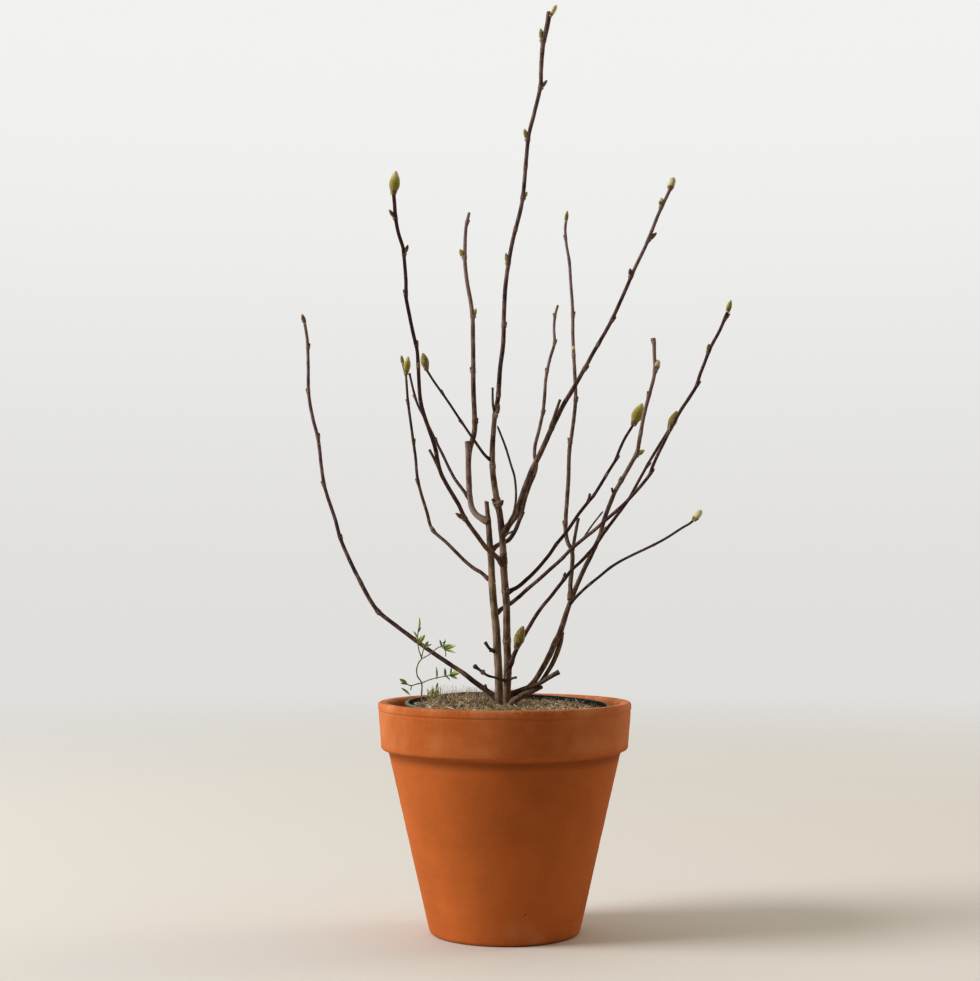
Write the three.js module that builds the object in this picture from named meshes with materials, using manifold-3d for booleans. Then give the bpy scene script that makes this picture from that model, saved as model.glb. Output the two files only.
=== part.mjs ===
// A young saucer magnolia in winter bud, growing in a black grower's pot that
// stands in a clay pot. Millimetres, +Z up, the viewer looks along +Y.
// The origin is the middle of the clay pot's foot.
import * as THREE from "three";
import { mergeVertices } from "three/addons/utils/BufferGeometryUtils.js";
import Module from "manifold-3d";

const wasm = await Module();
wasm.setup();

// ---- driving dimensions ----------------------------------------------------
const clay = {
  rimRadius: 140,
  height: 253,
  footRadius: 82.5,
  bandRadius: 137.6, // the collar's lower edge
  bandFoot: 203,
  neckRadius: 127.4, // the body just under the collar
  neckHeight: 195,
  wall: 9.5,
  floor: 13,
  drainRadius: 11,
  edge: 4,
  sides: 48,
};
const grower = {
  rimRadius: 113.5,
  footRadius: 87.2,
  height: 180,
  wall: 1.8,
  lip: 3,
  lean: THREE.MathUtils.degToRad(1.6), // its back edge stands higher
  tip: THREE.MathUtils.degToRad(1), // its right edge lies lower
  sides: 40,
};
const ground = {
  soilBelowRim: 14,
  matThickness: 9,
  mound: 5,
  clearance: 0.6,
  rings: 5,
};
const seat = 0.3; // gap left where one piece rests on another
const stemSides = 8;
const ringSpacing = 17;

// Where the viewer's eye is, from the origin, and how the picture is framed.
// A stem's route is given as [across, down, back]: the place where it shows in
// a front view of 980 x 981 pixels, and the millimetres that it lies behind
// the pot's axis.
const eye = {
  side: -16.2,
  distance: 1950,
  height: 391.4,
  tilt: THREE.MathUtils.degToRad(2.8),
  focal: 1750,
  middle: [490, 490.5],
};

function place([across, down, back]) {
  const x = (across - eye.middle[0]) / eye.focal;
  const y = (eye.middle[1] - down) / eye.focal;
  const forward = Math.cos(eye.tilt) - y * Math.sin(eye.tilt);
  const up = Math.sin(eye.tilt) + y * Math.cos(eye.tilt);
  const reach = (back + eye.distance) / forward;
  return new THREE.Vector3(eye.side + reach * x, back, eye.height + reach * up);
}

function rowOf(point) {
  const y = point.y + eye.distance;
  const z = point.z - eye.height;
  const forward = y * Math.cos(eye.tilt) + z * Math.sin(eye.tilt);
  const up = z * Math.cos(eye.tilt) - y * Math.sin(eye.tilt);
  return eye.middle[1] - (eye.focal * up) / forward;
}

// ---- materials ---------------------------------------------------------------
function finish(color, roughness) {
  return new THREE.MeshStandardMaterial({ color, roughness, metalness: 0 });
}
const finishes = {
  terracotta: finish(0xb5623a, 0.85),
  plastic: finish(0x1b1c1d, 0.5),
  soil: finish(0x3a2b1f, 1),
  grass: finish(0x8a7a52, 1),
  bark: finish(0x4a3029, 0.7),
  flowerBud: finish(0x8b8a3c, 0.9),
  leafBud: finish(0x6f6a3f, 0.85),
  seedling: finish(0x5f8a3a, 0.6),
};

// ---- stems and shoots ----------------------------------------------------------
// radii run evenly from the foot of the shoot to its tip. "on" names the pieces
// that a shoot is seated on, and "stubs" are the cut or dead ends that grew
// with it.
const shoots = {
  leader_stem: {
    radii: [4.5, 4.1, 3.8, 3.3, 2.6, 2.4, 2.3, 2.2, 2.2, 3],
    route: [
      [507.3, 722, 0], [507, 690, 0], [507.7, 664, 0], [506.8, 636, 0], [506.4, 604, 0],
      [504, 572, 0], [502.5, 540, 0], [499.8, 515, 0], [497, 501, 0], [493.3, 477, 1],
      [492.3, 457, 2], [493.3, 433, 3], [495.4, 412, 4], [498, 398, 5], [500, 370, 6],
      [503.3, 341.5, 7], [504, 312, 8], [506, 281, 8], [512.2, 243, 8], [521.8, 203.5, 7],
      [526.4, 157.5, 5], [528.6, 136, 5], [534.4, 112.6, 4], [540.6, 85, 4], [541, 70, 4],
      [543.5, 41, 4], [546.8, 28, 4],
      [549.2, 13, 4],
    ],
    stubs: [
      { radii: [1.5, 1.2], route: [[494.8, 413, 3], [492.9, 404, -2], [492.6, 388, -4]] },
      { radii: [1.5, 1.3, 1.2], route: [[507, 681, 0], [512, 678.4, -4], [516.3, 677.4, -6]] },
      { radii: [1.9, 1.3], route: [[497.5, 503, 0], [494, 501, -3], [492.4, 499.5, -4]] },
      { radii: [2, 1.3], route: [[498, 506, 0], [501.5, 504, -2], [502.4, 500.6, -3]] },
      { radii: [1.5, 1], route: [[503, 535, 0], [508.5, 533.4, -6], [513.3, 531, -9]] },
    ],
  },
  pruned_stem: {
    on: ["leader_stem"],
    radii: [4.6, 4.6, 4.4, 4.2, 3.8, 3.4, 2.3],
    route: [
      [498.5, 722, 9], [499, 692, 9], [498.6, 672, 9], [497.2, 648, 9], [496.2, 630, 8],
      [494.2, 609, 8], [492.3, 588, 8], [491.3, 564, 9], [489.6, 540, 9], [488, 518, 10],
      [486.5, 501.5, 10],
    ],
    stubs: [{ radii: [1.6, 1.5, 1.7], route: [[496, 653, 8], [489.5, 648.5, 3], [485.3, 642.6, 2]] }],
  },
  left_upright_shoot: {
    on: ["pruned_stem"],
    radii: [3.4, 3.2, 3.1, 2.8, 2.6, 2.5, 2.3, 2.2, 1.8],
    route: [
      [488.5, 522, 10], [482, 518.5, 12], [476, 514.3, 16], [472, 508, 20], [470, 498, 25],
      [468.8, 480, 31], [468.4, 462, 36], [469.8, 449, 40], [474.4, 432, 45],
      [474.3, 410, 51], [473.4, 390, 57], [473.2, 356, 67], [472.9, 334, 74],
      [472.6, 318, 79], [470.7, 302.5, 84], [466.6, 279, 92], [465, 262, 98],
      [465, 245, 104], [466.2, 226, 110], [469, 213.5, 114],
    ],
    stubs: [{ radii: [2.6, 2.8, 2.7], route: [[468.5, 465, 35], [468.2, 452, 38], [467.3, 441.6, 39]] }],
  },
  inner_left_twig: {
    on: ["left_upright_shoot"],
    radii: [1.9, 1.7, 1.5, 1.4, 1.3],
    route: [
      [470, 500, 25], [464.5, 492, 29], [454.6, 478.5, 39], [449, 468, 46], [443.8, 457, 53],
      [437.5, 444.5, 61], [431.3, 431.5, 69], [424, 417, 79], [417.5, 404, 86],
      [413.3, 390, 92], [409.8, 375, 98],
    ],
  },
  lower_left_twig: {
    on: ["pruned_stem"],
    radii: [2.2, 1.9, 1.8, 1.7, 1.6, 1.5, 1.3],
    route: [
      [492, 581, 8], [486, 577, 10], [481.8, 573, 12], [473.4, 568, 16], [465, 561, 20],
      [445.8, 542, 32], [435.4, 533, 37], [430.8, 526.5, 40], [426.9, 512.2, 43],
      [421.3, 494, 48], [417.6, 479, 52], [415.5, 457.5, 58], [412.8, 437.7, 62],
      [409.8, 416, 66], [407.6, 398, 69], [406.7, 385, 71], [405.9, 374, 72],
    ],
    stubs: [{ radii: [1.2, 1.1], route: [[405.9, 376, 72], [403.6, 368, 75], [402.9, 363.5, 76]] }],
  },
  left_branch: {
    on: ["leader_stem"],
    radii: [2.8, 2.3, 2.2, 2.1, 1.9, 1.9, 1.8, 1.9],
    route: [
      [503.5, 566, 0], [500, 560.5, -5], [493.3, 554, -10], [486.9, 548.5, -13],
      [478.2, 537, -20], [465.4, 519, -28], [458.5, 504.5, -36], [447, 485, -46],
      [440.5, 472, -52], [437.2, 458, -58], [435.7, 450, -61], [432, 437.6, -66], [424.7, 416.9, -74],
      [420.4, 400, -80], [418.6, 374, -90], [417, 350, -100], [413.3, 334, -107],
      [408.6, 311, -116], [406.2, 298, -121], [405.9, 280, -128], [404.5, 262, -135],
      [403, 248, -140], [398.4, 233, -146], [395.5, 217, -152], [394.4, 202, -157],
      [393.6, 194, -160],
    ],
    stubs: [
      { radii: [1.6, 1.4], route: [[439.6, 470, -53], [436.2, 462.5, -56], [429.5, 450, -58]] },
    ],
  },
  crossing_twig: {
    on: ["leader_stem"],
    radii: [1.7, 1.4, 1.3, 1.2],
    route: [
      [492.3, 461, 2], [486, 456.3, 0], [474, 440, -5], [461.3, 421.5, -9],
      [447, 400, -13], [433.6, 381, -16], [430, 375.3, -17], [426.6, 370, -18],
    ],
  },
  right_branch: {
    on: ["leader_stem"],
    radii: [3.4, 3.1, 2.8, 2.4, 2, 1.9, 1.8, 1.8],
    route: [
      [502.8, 535, 0], [506.7, 528, -1], [512, 521, -2], [516.7, 514.5, -4],
      [520.6, 500.5, -7], [525.6, 486, -11], [531.8, 470.6, -16], [540, 454, -22],
      [546.7, 439.4, -27], [551.8, 428, -30], [557.2, 417, -34], [563.2, 405.3, -38],
      [574, 387.3, -45], [586.6, 365, -54], [593, 353.2, -58], [600.5, 340.4, -64],
      [611.3, 321, -72], [626, 288.7, -85], [635.5, 266.8, -94], [646, 245.2, -104],
      [654.9, 223, -114], [660, 210.5, -120], [670.2, 189.2, -130],
    ],
    stubs: [
      {
        radii: [2, 1.4],
        route: [[550.5, 428, -31], [554, 417.5, -38], [556.8, 409, -41], [560, 400, -43]],
      },
    ],
  },
  right_inner_shoot: {
    on: ["pruned_stem"],
    radii: [2.6, 2.3, 2.1, 2, 1.9, 1.8, 1.7, 1.5],
    route: [
      [490.5, 552, 9], [493, 549, 12], [497, 545.6, 16], [502, 543, 18], [507.8, 540.6, 19],
      [513.3, 534, 18], [517.6, 525, 17], [521.2, 514.5, 17], [524.5, 501, 19],
      [529.3, 486.4, 23], [535.2, 472.2, 28], [536.3, 464, 31], [534.6, 456, 34],
      [535, 446.5, 38], [538.9, 430.6, 47], [542.9, 412, 58], [544.7, 395, 70],
      [545.6, 381, 79], [547.6, 369.2, 86], [550.3, 357.7, 95], [554.4, 343, 104],
      [554, 329, 112], [555, 316, 119], [557.6, 306, 124],
    ],
    stubs: [{ radii: [1.6, 1.2], route: [[518.5, 522, 17], [521.8, 516.5, 13], [523.7, 512.2, 11]] }],
  },
  arched_twig: {
    on: ["right_branch", "leader_stem"],
    radii: [1.6, 1.3, 1.2, 1.2, 1.1],
    route: [
      [507, 528, -3], [509.5, 521, -9], [513.3, 514, -14], [515.6, 502.5, -19],
      [515.9, 490, -26], [514.4, 476, -33], [511.3, 466, -39], [505.6, 447.2, -50],
      [498.1, 427.8, -60],
    ],
  },
  middle_right_branch: {
    on: ["leader_stem"],
    radii: [2.3, 2, 1.9, 1.8, 1.7, 1.5],
    route: [
      [505.5, 594, 0], [511.3, 590.4, 2], [517.7, 587, 4], [526.8, 579.3, 7],
      [535.6, 570.8, 11], [548.8, 555.3, 17], [556.3, 544.3, 21], [566, 532.5, 26],
      [579, 513.6, 32], [587.4, 503, 36], [593.8, 495.3, 39], [600.4, 485, 43],
      [608.4, 471.6, 48], [616, 459.3, 52], [618.6, 452, 55], [625.2, 437.7, 60],
      [631.4, 427.8, 63], [633.4, 424.3, 64],
    ],
    stubs: [{ radii: [1.5, 1.3], route: [[587, 503.5, 36], [588.9, 498, 34], [589.9, 494, 33]] }],
  },
  long_right_branch: {
    on: ["pruned_stem"],
    radii: [2.4, 2, 1.9, 1.8, 1.7, 1.8, 1.7, 1.6],
    route: [
      [493.8, 616, 8], [498.2, 611.8, 12], [503, 608, 15], [510, 603.8, 14], [518.4, 597.3, 7],
      [527.5, 589, -1], [538.5, 579.8, -11], [549.3, 570, -20], [561, 559.6, -28],
      [571.3, 549, -36], [583.8, 538.5, -45], [593.8, 530.6, -51], [606.3, 519.5, -59],
      [618.3, 509.4, -66], [628, 500, -70], [641.8, 484.7, -79], [650, 474, -84],
      [652.5, 466.8, -87], [657.8, 454.6, -92], [663.6, 442.7, -97], [671.4, 427.4, -104],
      [680, 411.6, -111], [689.3, 397.6, -119], [696.4, 385.9, -125], [699.8, 375.2, -131],
      [705.2, 361.2, -139], [709.9, 349, -145], [720, 329.8, -155], [727.9, 311, -163],
    ],
    stubs: [{ radii: [1, 0.9], route: [[583.8, 538, -45], [591.3, 526.3, -47], [602, 512.6, -50]] }],
  },
  low_right_branch: {
    on: ["leader_stem"],
    radii: [2.7, 2, 1.8, 1.8, 1.6, 1.6],
    route: [
      [507, 671, 0], [511, 662.5, -2], [515, 652.5, -4], [520, 642.5, -4],
      [525, 634, -4], [530.4, 624.8, -4], [535.5, 616.3, -3], [542.4, 606.5, -3],
      [551, 596.3, -2], [557.4, 588, 0], [565, 578.3, 2], [572.5, 569.2, 3],
      [580.5, 561.9, 5], [588.6, 553.4, 7], [597.5, 542.5, 9], [605, 531.3, 11],
      [612.5, 521.3, 13], [620, 511.2, 14], [628.3, 500, 17], [637, 484, 21],
      [647.8, 464.5, 25], [656.5, 449.8, 28], [663.4, 438.7, 31], [669.3, 429, 32],
    ],
  },
  right_stem: {
    on: ["leader_stem"],
    radii: [3, 2.8, 3.6, 2.7, 2.6, 2.5, 2.4, 2.3, 2.1, 2, 2.1],
    route: [
      [507, 696.5, 2], [511.5, 693.8, 4], [520.5, 690.4, 4], [528.5, 687.3, 3],
      [533, 683, 3], [537, 677.4, 4], [543.5, 666.7, 9], [550.6, 652.9, 17],
      [555, 642.6, 23], [559.2, 635, 29], [563, 624, 36], [566.8, 611.5, 43],
      [570.6, 601, 47], [574, 592.5, 50], [579.2, 580, 51], [585, 567.2, 50],
      [590.3, 557, 49], [595.2, 546.3, 49], [600.3, 535, 48], [602.9, 524, 47],
      [606.7, 512.3, 46], [611.2, 500.8, 44], [615.5, 490.7, 42], [621.7, 480, 39],
      [627.6, 469.8, 36], [632.3, 461.5, 35], [637.2, 452, 33], [638.9, 443, 32],
      [641.2, 430, 30], [644.4, 413, 28], [649.3, 394.5, 26], [653.8, 377.6, 23],
      [655, 368, 22], [654.3, 355.7, 20], [654, 343, 18], [653.4, 338.3, 18],
    ],
    stubs: [
      {
        radii: [2.2, 2.5, 2.7, 3.1],
        route: [[524, 689.4, 3], [540, 683, -2], [550, 676.8, -5], [558.8, 672, -7]],
      },
      {
        radii: [3.7, 3.7, 3.5, 3, 1.7],
        route: [[506.5, 707, 1], [513, 701.5, -3], [522, 695.8, -4], [533, 690.8, 0], [541.8, 687, 3]],
      },
      { radii: [1.4, 1.2], route: [[613.9, 493.5, 43], [612.4, 490.5, 40], [612, 488.3, 39]] },
    ],
  },
  right_twin_stem: {
    on: ["right_stem"],
    radii: [2.2, 2.4, 2.6, 2.8, 2.7],
    route: [
      [537.5, 685.6, 2], [541.8, 680.6, 5], [546, 674.5, 9], [552.2, 664, 15],
      [557.2, 652.3, 21], [560.3, 642.5, 26], [561.8, 633, 32],
    ],
  },
  back_upright_shoot: {
    on: ["right_stem"],
    radii: [2.6, 2.4, 2.3, 2.2, 2.1, 2, 1.8, 1.6],
    route: [
      [570.2, 600, 47], [570.5, 584, 54], [571.9, 568, 59], [572.4, 554, 64],
      [571, 548.5, 66], [568, 543, 69], [565.7, 532, 73], [565.8, 517, 78],
      [567, 501, 84], [568.4, 478, 92], [569.5, 449, 102], [572.4, 430, 108],
      [574.4, 413, 113], [575.6, 397, 118], [574.7, 373, 126], [573, 341, 135],
      [572.6, 310, 143], [570.5, 279.5, 151], [569.2, 261, 156], [566.3, 244, 160],
      [565.2, 229, 162], [566, 220.5, 163],
    ],
    stubs: [{ radii: [1.9, 1.7], route: [[572.2, 553, 65], [575, 536, 66], [578.2, 518.7, 67]] }],
  },
  reaching_twig: {
    on: ["right_stem", "back_upright_shoot"],
    radii: [1.7, 1.5, 1.4, 1.3, 1.2],
    route: [
      [569.5, 604, 45], [573.6, 599.6, 44], [579, 594, 41], [588.8, 585, 34], [598.8, 577, 26],
      [610, 567.8, 15], [622, 560.3, 2], [638.8, 552, -20], [656, 543.7, -45],
      [667.7, 537.2, -65], [680.8, 528.7, -88], [690.3, 523, -104], [694, 519.8, -109],
    ],
  },
  sweeping_stem: {
    on: ["pruned_stem"],
    radii: [3.1, 2.5, 2.3, 2.4, 2.1, 2, 2, 1.9, 1.8],
    route: [
      [499, 702, 10], [494, 696, 12], [483.8, 688.6, 15], [472.5, 680.3, 19], [463, 672.8, 24],
      [453.5, 666.6, 28], [439.8, 657.4, 35], [425.6, 647.7, 42], [412, 637.6, 49],
      [393, 623.3, 58], [379.3, 612.4, 65], [371.3, 602, 69], [360.6, 582.2, 75],
      [349.7, 560.3, 81], [340, 537.3, 87], [335.4, 520, 91], [328, 498, 96], [324.2, 485, 98],
      [321.3, 465.8, 102], [318.3, 440, 106], [312.3, 416, 110], [308.6, 393, 113],
      [308.2, 366, 116], [307.4, 341.5, 119], [304.7, 323, 120],
    ],
    stubs: [{ radii: [1.8, 1.3], route: [[487, 690.5, 14], [485.8, 687.5, 11], [485.3, 685, 10]] }],
  },
  basal_spur: {
    on: ["leader_stem"],
    radii: [2, 1.8, 1.7, 1.8, 2.6, 2.4, 2.6],
    route: [
      [506.5, 681, 0], [502, 679.6, -6], [496, 677.8, -11], [487.5, 675.4, -14],
      [481.3, 670.8, -16], [475.8, 666.2, -18],
    ],
  },
};

// ---- buds ----------------------------------------------------------------------
// An end bud has the places of its foot and its tip. A side bud sits where the
// shoot crosses the row, and turns away from it: to the right at 0 degrees, to
// the viewer at -90 and to the left at 180. lean is how far it leans out, against
// its shoot's own direction.
const endBuds = {
  flower_bud_left: {
    on: "left_branch", radius: 5.6, foot: [393.5, 194.5, -160], tip: [395.8, 170.5, -163],
  },
  flower_bud_crossing: {
    on: "crossing_twig", radius: 4.6, foot: [426.4, 369.8, -18], tip: [422.9, 352.8, -19],
  },
  flower_bud_lower_left: {
    on: "lower_left_twig", radius: 4.2, foot: [406, 374.2, 72], tip: [408.1, 356.2, 71],
  },
  flower_bud_middle: {
    on: "middle_right_branch", radius: 6.7, foot: [633.2, 424.8, 64], tip: [642.4, 402.9, 64],
  },
  flower_bud_low: {
    on: "low_right_branch", radius: 5, foot: [669.4, 429, 32], tip: [677, 410.7, 32],
  },
  flower_bud_basal: {
    on: "low_right_branch", radius: 6, foot: [516.4, 648, -8], tip: [523, 626.3, -14],
  },
  opening_bud_right: {
    on: "right_branch", radius: 4.6, foot: [669.9, 189.8, -130], tip: [673.8, 177, -132],
  },
  opening_bud_reaching: {
    on: "reaching_twig", radius: 4, foot: [694, 519.8, -109], tip: [702, 509.8, -113],
  },
  leader_top_bud: {
    on: "leader_stem", radius: 2.6, foot: [550.2, 16, 3], tip: [556.4, 4.6, 2],
  },
  tip_bud_long: {
    on: "long_right_branch", radius: 2.4, foot: [727.7, 311.5, -163], tip: [731, 300, -165],
  },
  tip_bud_back: {
    on: "back_upright_shoot", radius: 2.3, foot: [565.9, 221, 163], tip: [567.3, 210.5, 163],
  },
  tip_bud_sweeping: {
    on: "sweeping_stem", radius: 2.5, foot: [304.7, 323.4, 120], tip: [301.8, 313.5, 120],
  },
  tip_bud_lower_left: {
    on: "lower_left_twig", radius: 2.1, foot: [402.9, 363.8, 76], tip: [401.2, 355, 77],
  },
};
const sideBuds = {
  opening_bud_stem: { on: "right_stem", row: 372, turn: 0, length: 13, radius: 3.2, lean: 0.25 },
  leaf_bud_01: { on: "leader_stem", row: 40, turn: 180, length: 13, radius: 2.8, lean: 0.28 },
  leaf_bud_02: { on: "leader_stem", row: 87, turn: 0, length: 10, radius: 2.1, lean: 0.5 },
  leaf_bud_03: { on: "leader_stem", row: 139.5, turn: 180, length: 12, radius: 2.5, lean: 0.32 },
  leaf_bud_04: { on: "leader_stem", row: 196.5, turn: 0, length: 7, radius: 1.9, lean: 0.3 },
  leaf_bud_05: { on: "leader_stem", row: 262, turn: 180, length: 10.5, radius: 2.2, lean: 0.22 },
  leaf_bud_06: { on: "leader_stem", row: 414.5, turn: -88, length: 12, radius: 2.3, lean: 0.3 },
  leaf_bud_07: { on: "left_upright_shoot", row: 257, turn: 180, length: 11, radius: 2.8, lean: 0.34 },
  leaf_bud_08: { on: "left_upright_shoot", row: 315.5, turn: 0, length: 9.5, radius: 2.2, lean: 0.28 },
  leaf_bud_09: { on: "left_branch", row: 217, turn: 180, length: 9.5, radius: 2, lean: 0.45 },
  leaf_bud_10: { on: "left_branch", row: 253, turn: 0, length: 9, radius: 2, lean: 0.48 },
  leaf_bud_11: { on: "left_branch", row: 518, turn: 180, length: 9.5, radius: 2.2, lean: 0.75 },
  leaf_bud_12: { on: "right_branch", row: 206, turn: 180, length: 9, radius: 2.5, lean: 0.32 },
  leaf_bud_13: { on: "right_branch", row: 239, turn: 0, length: 10, radius: 2.2, lean: 0.4 },
  leaf_bud_14: { on: "right_branch", row: 276, turn: 180, length: 8, radius: 2.2, lean: 0.4 },
  leaf_bud_15: { on: "back_upright_shoot", row: 355.5, turn: -90, length: 11, radius: 2.2, lean: 0.12 },
  leaf_bud_16: { on: "right_stem", row: 454, turn: 0, length: 8, radius: 2.2, lean: 0.8 },
  leaf_bud_17: { on: "long_right_branch", row: 351, turn: 180, length: 7.5, radius: 2, lean: 0.2 },
  leaf_bud_18: { on: "low_right_branch", row: 578, turn: 150, length: 7, radius: 2, lean: 0.5 },
};
const budSides = 8;

// ---- the seedling that came up beside the shrub ----------------------------------
const seedlingStemRadius = 0.7;
const seedlingStems = [
  [[421.8, 704, 22], [421.6, 693.6, 24], [421.6, 683, 26], [417.3, 675.8, 26], [416.7, 668.9, 26],
    [419, 662, 25], [421.3, 659, 24], [418.9, 650, 22], [417.5, 640, 21], [418.6, 628, 20]],
  [[421.3, 659, 24], [422.5, 653, 22], [424.8, 646, 19]],
  [[421.3, 659, 24], [429.4, 654.5, 20], [437.4, 648, 17], [442.6, 646.4, 15], [445.2, 650.5, 12],
    [445.8, 656.5, 11]],
  [[421.6, 683, 26], [430.5, 679.4, 20], [440.8, 677, 15], [451.6, 674.5, 11]],
  [[421.6, 683, 26], [416.8, 684, 24], [411.4, 685.6, 22], [405.8, 683.8, 20]],
];
// Each leaf runs from its foot to its tip.
const seedlingLeaves = [
  [[418.5, 630, 20], [418.9, 617, 18]],
  [[417.6, 640, 21], [413.4, 631.5, 17]],
  [[418, 643.5, 21], [424.6, 635, 16]],
  [[424.6, 647, 19], [428.4, 641.5, 16]],
  [[424.4, 647.4, 19], [421, 643, 17]],
  [[441.6, 647, 15], [439.6, 640, 12]],
  [[442.8, 646.6, 15], [445.4, 638.6, 18]],
  [[443.6, 648, 14], [454.8, 645.4, 8]],
  [[444.8, 650, 12.6], [454.6, 653.6, 8]],
  [[436.6, 678, 17], [436, 667, 14]],
  [[444.8, 676.2, 13.6], [444.6, 668.4, 10]],
  [[450.8, 674.8, 11.4], [459, 673, 6]],
  [[449.6, 675.2, 12], [457, 679, 7]],
  [[406.4, 684, 20.2], [399.6, 679.4, 16]],
];
const leafHalfWidth = 2.6;
const leafHalfThickness = 0.5;
const leafRoot = 1.6; // how far a leaf's foot reaches back into its stem

// ---- solids ----------------------------------------------------------------------
function toSolid(geometry) {
  const bare = geometry.index ? geometry.toNonIndexed() : geometry.clone();
  bare.deleteAttribute("normal");
  bare.deleteAttribute("uv");
  const merged = mergeVertices(bare, 1e-3);
  const mesh = new wasm.Mesh({
    numProp: 3,
    vertProperties: merged.getAttribute("position").array,
    triVerts: new Uint32Array(merged.index.array),
  });
  return new wasm.Manifold(mesh);
}

function toGeometry(solid) {
  const mesh = solid.getMesh();
  const corners = new Float32Array(mesh.numVert * 3);
  for (let i = 0; i < mesh.numVert; i++) {
    corners.set(mesh.vertProperties.subarray(i * mesh.numProp, i * mesh.numProp + 3), i * 3);
  }
  return new THREE.BufferGeometry()
    .setAttribute("position", new THREE.BufferAttribute(corners, 3))
    .setIndex(new THREE.BufferAttribute(mesh.triVerts, 1));
}

function turned(profile, sides) {
  const outline = profile.map(([radius, height]) => new THREE.Vector2(radius, height));
  return new THREE.LatheGeometry(outline, sides).rotateX(Math.PI / 2);
}

function curveOf(route) {
  return new THREE.CatmullRomCurve3(route.map(place), false, "centripetal");
}

function radiusAt(radii, along) {
  const spot = along * (radii.length - 1);
  const low = Math.min(Math.floor(spot), radii.length - 2);
  return THREE.MathUtils.lerp(radii[low], radii[low + 1], spot - low);
}

// A round stem with closed ends that narrows along its curve. extra thickens it.
function stemGeometry(curve, radii, extra = 0, sides = stemSides, spacing = ringSpacing) {
  const rings = Math.max(2, Math.round(curve.getLength() / spacing));
  const frames = curve.computeFrenetFrames(rings, false);
  const corners = [];
  const faces = [];
  for (let i = 0; i <= rings; i++) {
    const centre = curve.getPointAt(i / rings);
    if (i === 0) centre.addScaledVector(frames.tangents[0], -extra);
    if (i === rings) centre.addScaledVector(frames.tangents[rings], extra);
    const radius = radiusAt(radii, i / rings) + extra;
    for (let s = 0; s < sides; s++) {
      const angle = (2 * Math.PI * s) / sides;
      const corner = centre.clone()
        .addScaledVector(frames.normals[i], radius * Math.cos(angle))
        .addScaledVector(frames.binormals[i], radius * Math.sin(angle));
      corners.push(...corner.toArray());
    }
  }
  const at = (ring, side) => ring * sides + (side % sides);
  for (let i = 0; i < rings; i++) {
    for (let s = 0; s < sides; s++) {
      faces.push(at(i, s), at(i, s + 1), at(i + 1, s + 1));
      faces.push(at(i, s), at(i + 1, s + 1), at(i + 1, s));
    }
  }
  for (let s = 1; s < sides - 1; s++) {
    faces.push(at(0, 0), at(0, s + 1), at(0, s));
    faces.push(at(rings, 0), at(rings, s), at(rings, s + 1));
  }
  return new THREE.BufferGeometry()
    .setAttribute("position", new THREE.BufferAttribute(new Float32Array(corners), 3))
    .setIndex(faces);
}

// A pointed oval, turned about its own axis, with its foot at the origin.
function budGeometry(length, radius) {
  const steps = 5;
  const profile = [];
  for (let i = 0; i <= steps; i++) {
    const along = i / steps;
    const width = Math.sin(Math.PI * Math.pow(along, 0.8)) * (1 - 0.25 * along);
    profile.push([i === 0 || i === steps ? 0 : radius * 1.08 * width, length * along]);
  }
  return turned(profile, budSides);
}

function pointed(geometry, foot, direction) {
  const turn = new THREE.Quaternion()
    .setFromUnitVectors(new THREE.Vector3(0, 0, 1), direction.clone().normalize());
  return geometry.applyQuaternion(turn).translate(foot.x, foot.y, foot.z);
}

// A leaf blade: two shallow pyramids back to back, along the line from foot to tip.
function leafGeometry([foot, tip]) {
  const end = place(tip);
  const start = place(foot);
  start.addScaledVector(end.clone().sub(start).normalize(), -leafRoot);
  const along = end.clone().sub(start);
  const across = new THREE.Vector3(0, 1, 0).cross(along).normalize();
  const face = along.clone().cross(across).normalize();
  const middle = start.clone().addScaledVector(along, 0.5);
  const corners = [
    start,
    middle.clone().addScaledVector(across, leafHalfWidth),
    end,
    middle.clone().addScaledVector(across, -leafHalfWidth),
    middle.clone().addScaledVector(face, leafHalfThickness),
    middle.clone().addScaledVector(face, -leafHalfThickness),
  ];
  const faces = [];
  for (let i = 0; i < 4; i++) {
    faces.push((i + 1) % 4, i, 4);
    faces.push(i, (i + 1) % 4, 5);
  }
  return new THREE.BufferGeometry()
    .setAttribute("position", new THREE.BufferAttribute(
      new Float32Array(corners.flatMap((corner) => corner.toArray())), 3))
    .setIndex(faces);
}

// ---- the two pots, the soil and the mat of dry grass --------------------------------
function clayPot() {
  const { rimRadius: rim, height, footRadius: foot, wall, floor, edge } = clay;
  const innerNeck = clay.neckRadius - wall;
  const innerFoot = foot - wall + 1.5;
  const innerRim = rim - wall - 2;
  const drain = clay.drainRadius;
  const profile = [
    [drain, 0], [foot - edge, 0], [foot - edge * 0.3, edge * 0.3], [foot + 0.6, edge],
    [clay.neckRadius, clay.neckHeight], [clay.neckRadius + 2, clay.neckHeight + 4.5],
    [clay.bandRadius - 5, clay.bandFoot - 2], [clay.bandRadius - 1, clay.bandFoot],
    [clay.bandRadius, clay.bandFoot + 4], [rim, height - 9], [rim - 0.8, height - 3],
    [rim - 3.5, height - 0.3], [rim - 7, height], [innerRim, height - 3],
    [innerRim - 1.5, height - 12], [innerRim - 3, clay.bandFoot + 6],
    [innerNeck, clay.neckHeight - 2], [innerFoot + 1, floor + 5], [innerFoot - 4, floor],
    [drain, floor], [drain, 0],
  ];
  return turned(profile, clay.sides);
}

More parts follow.
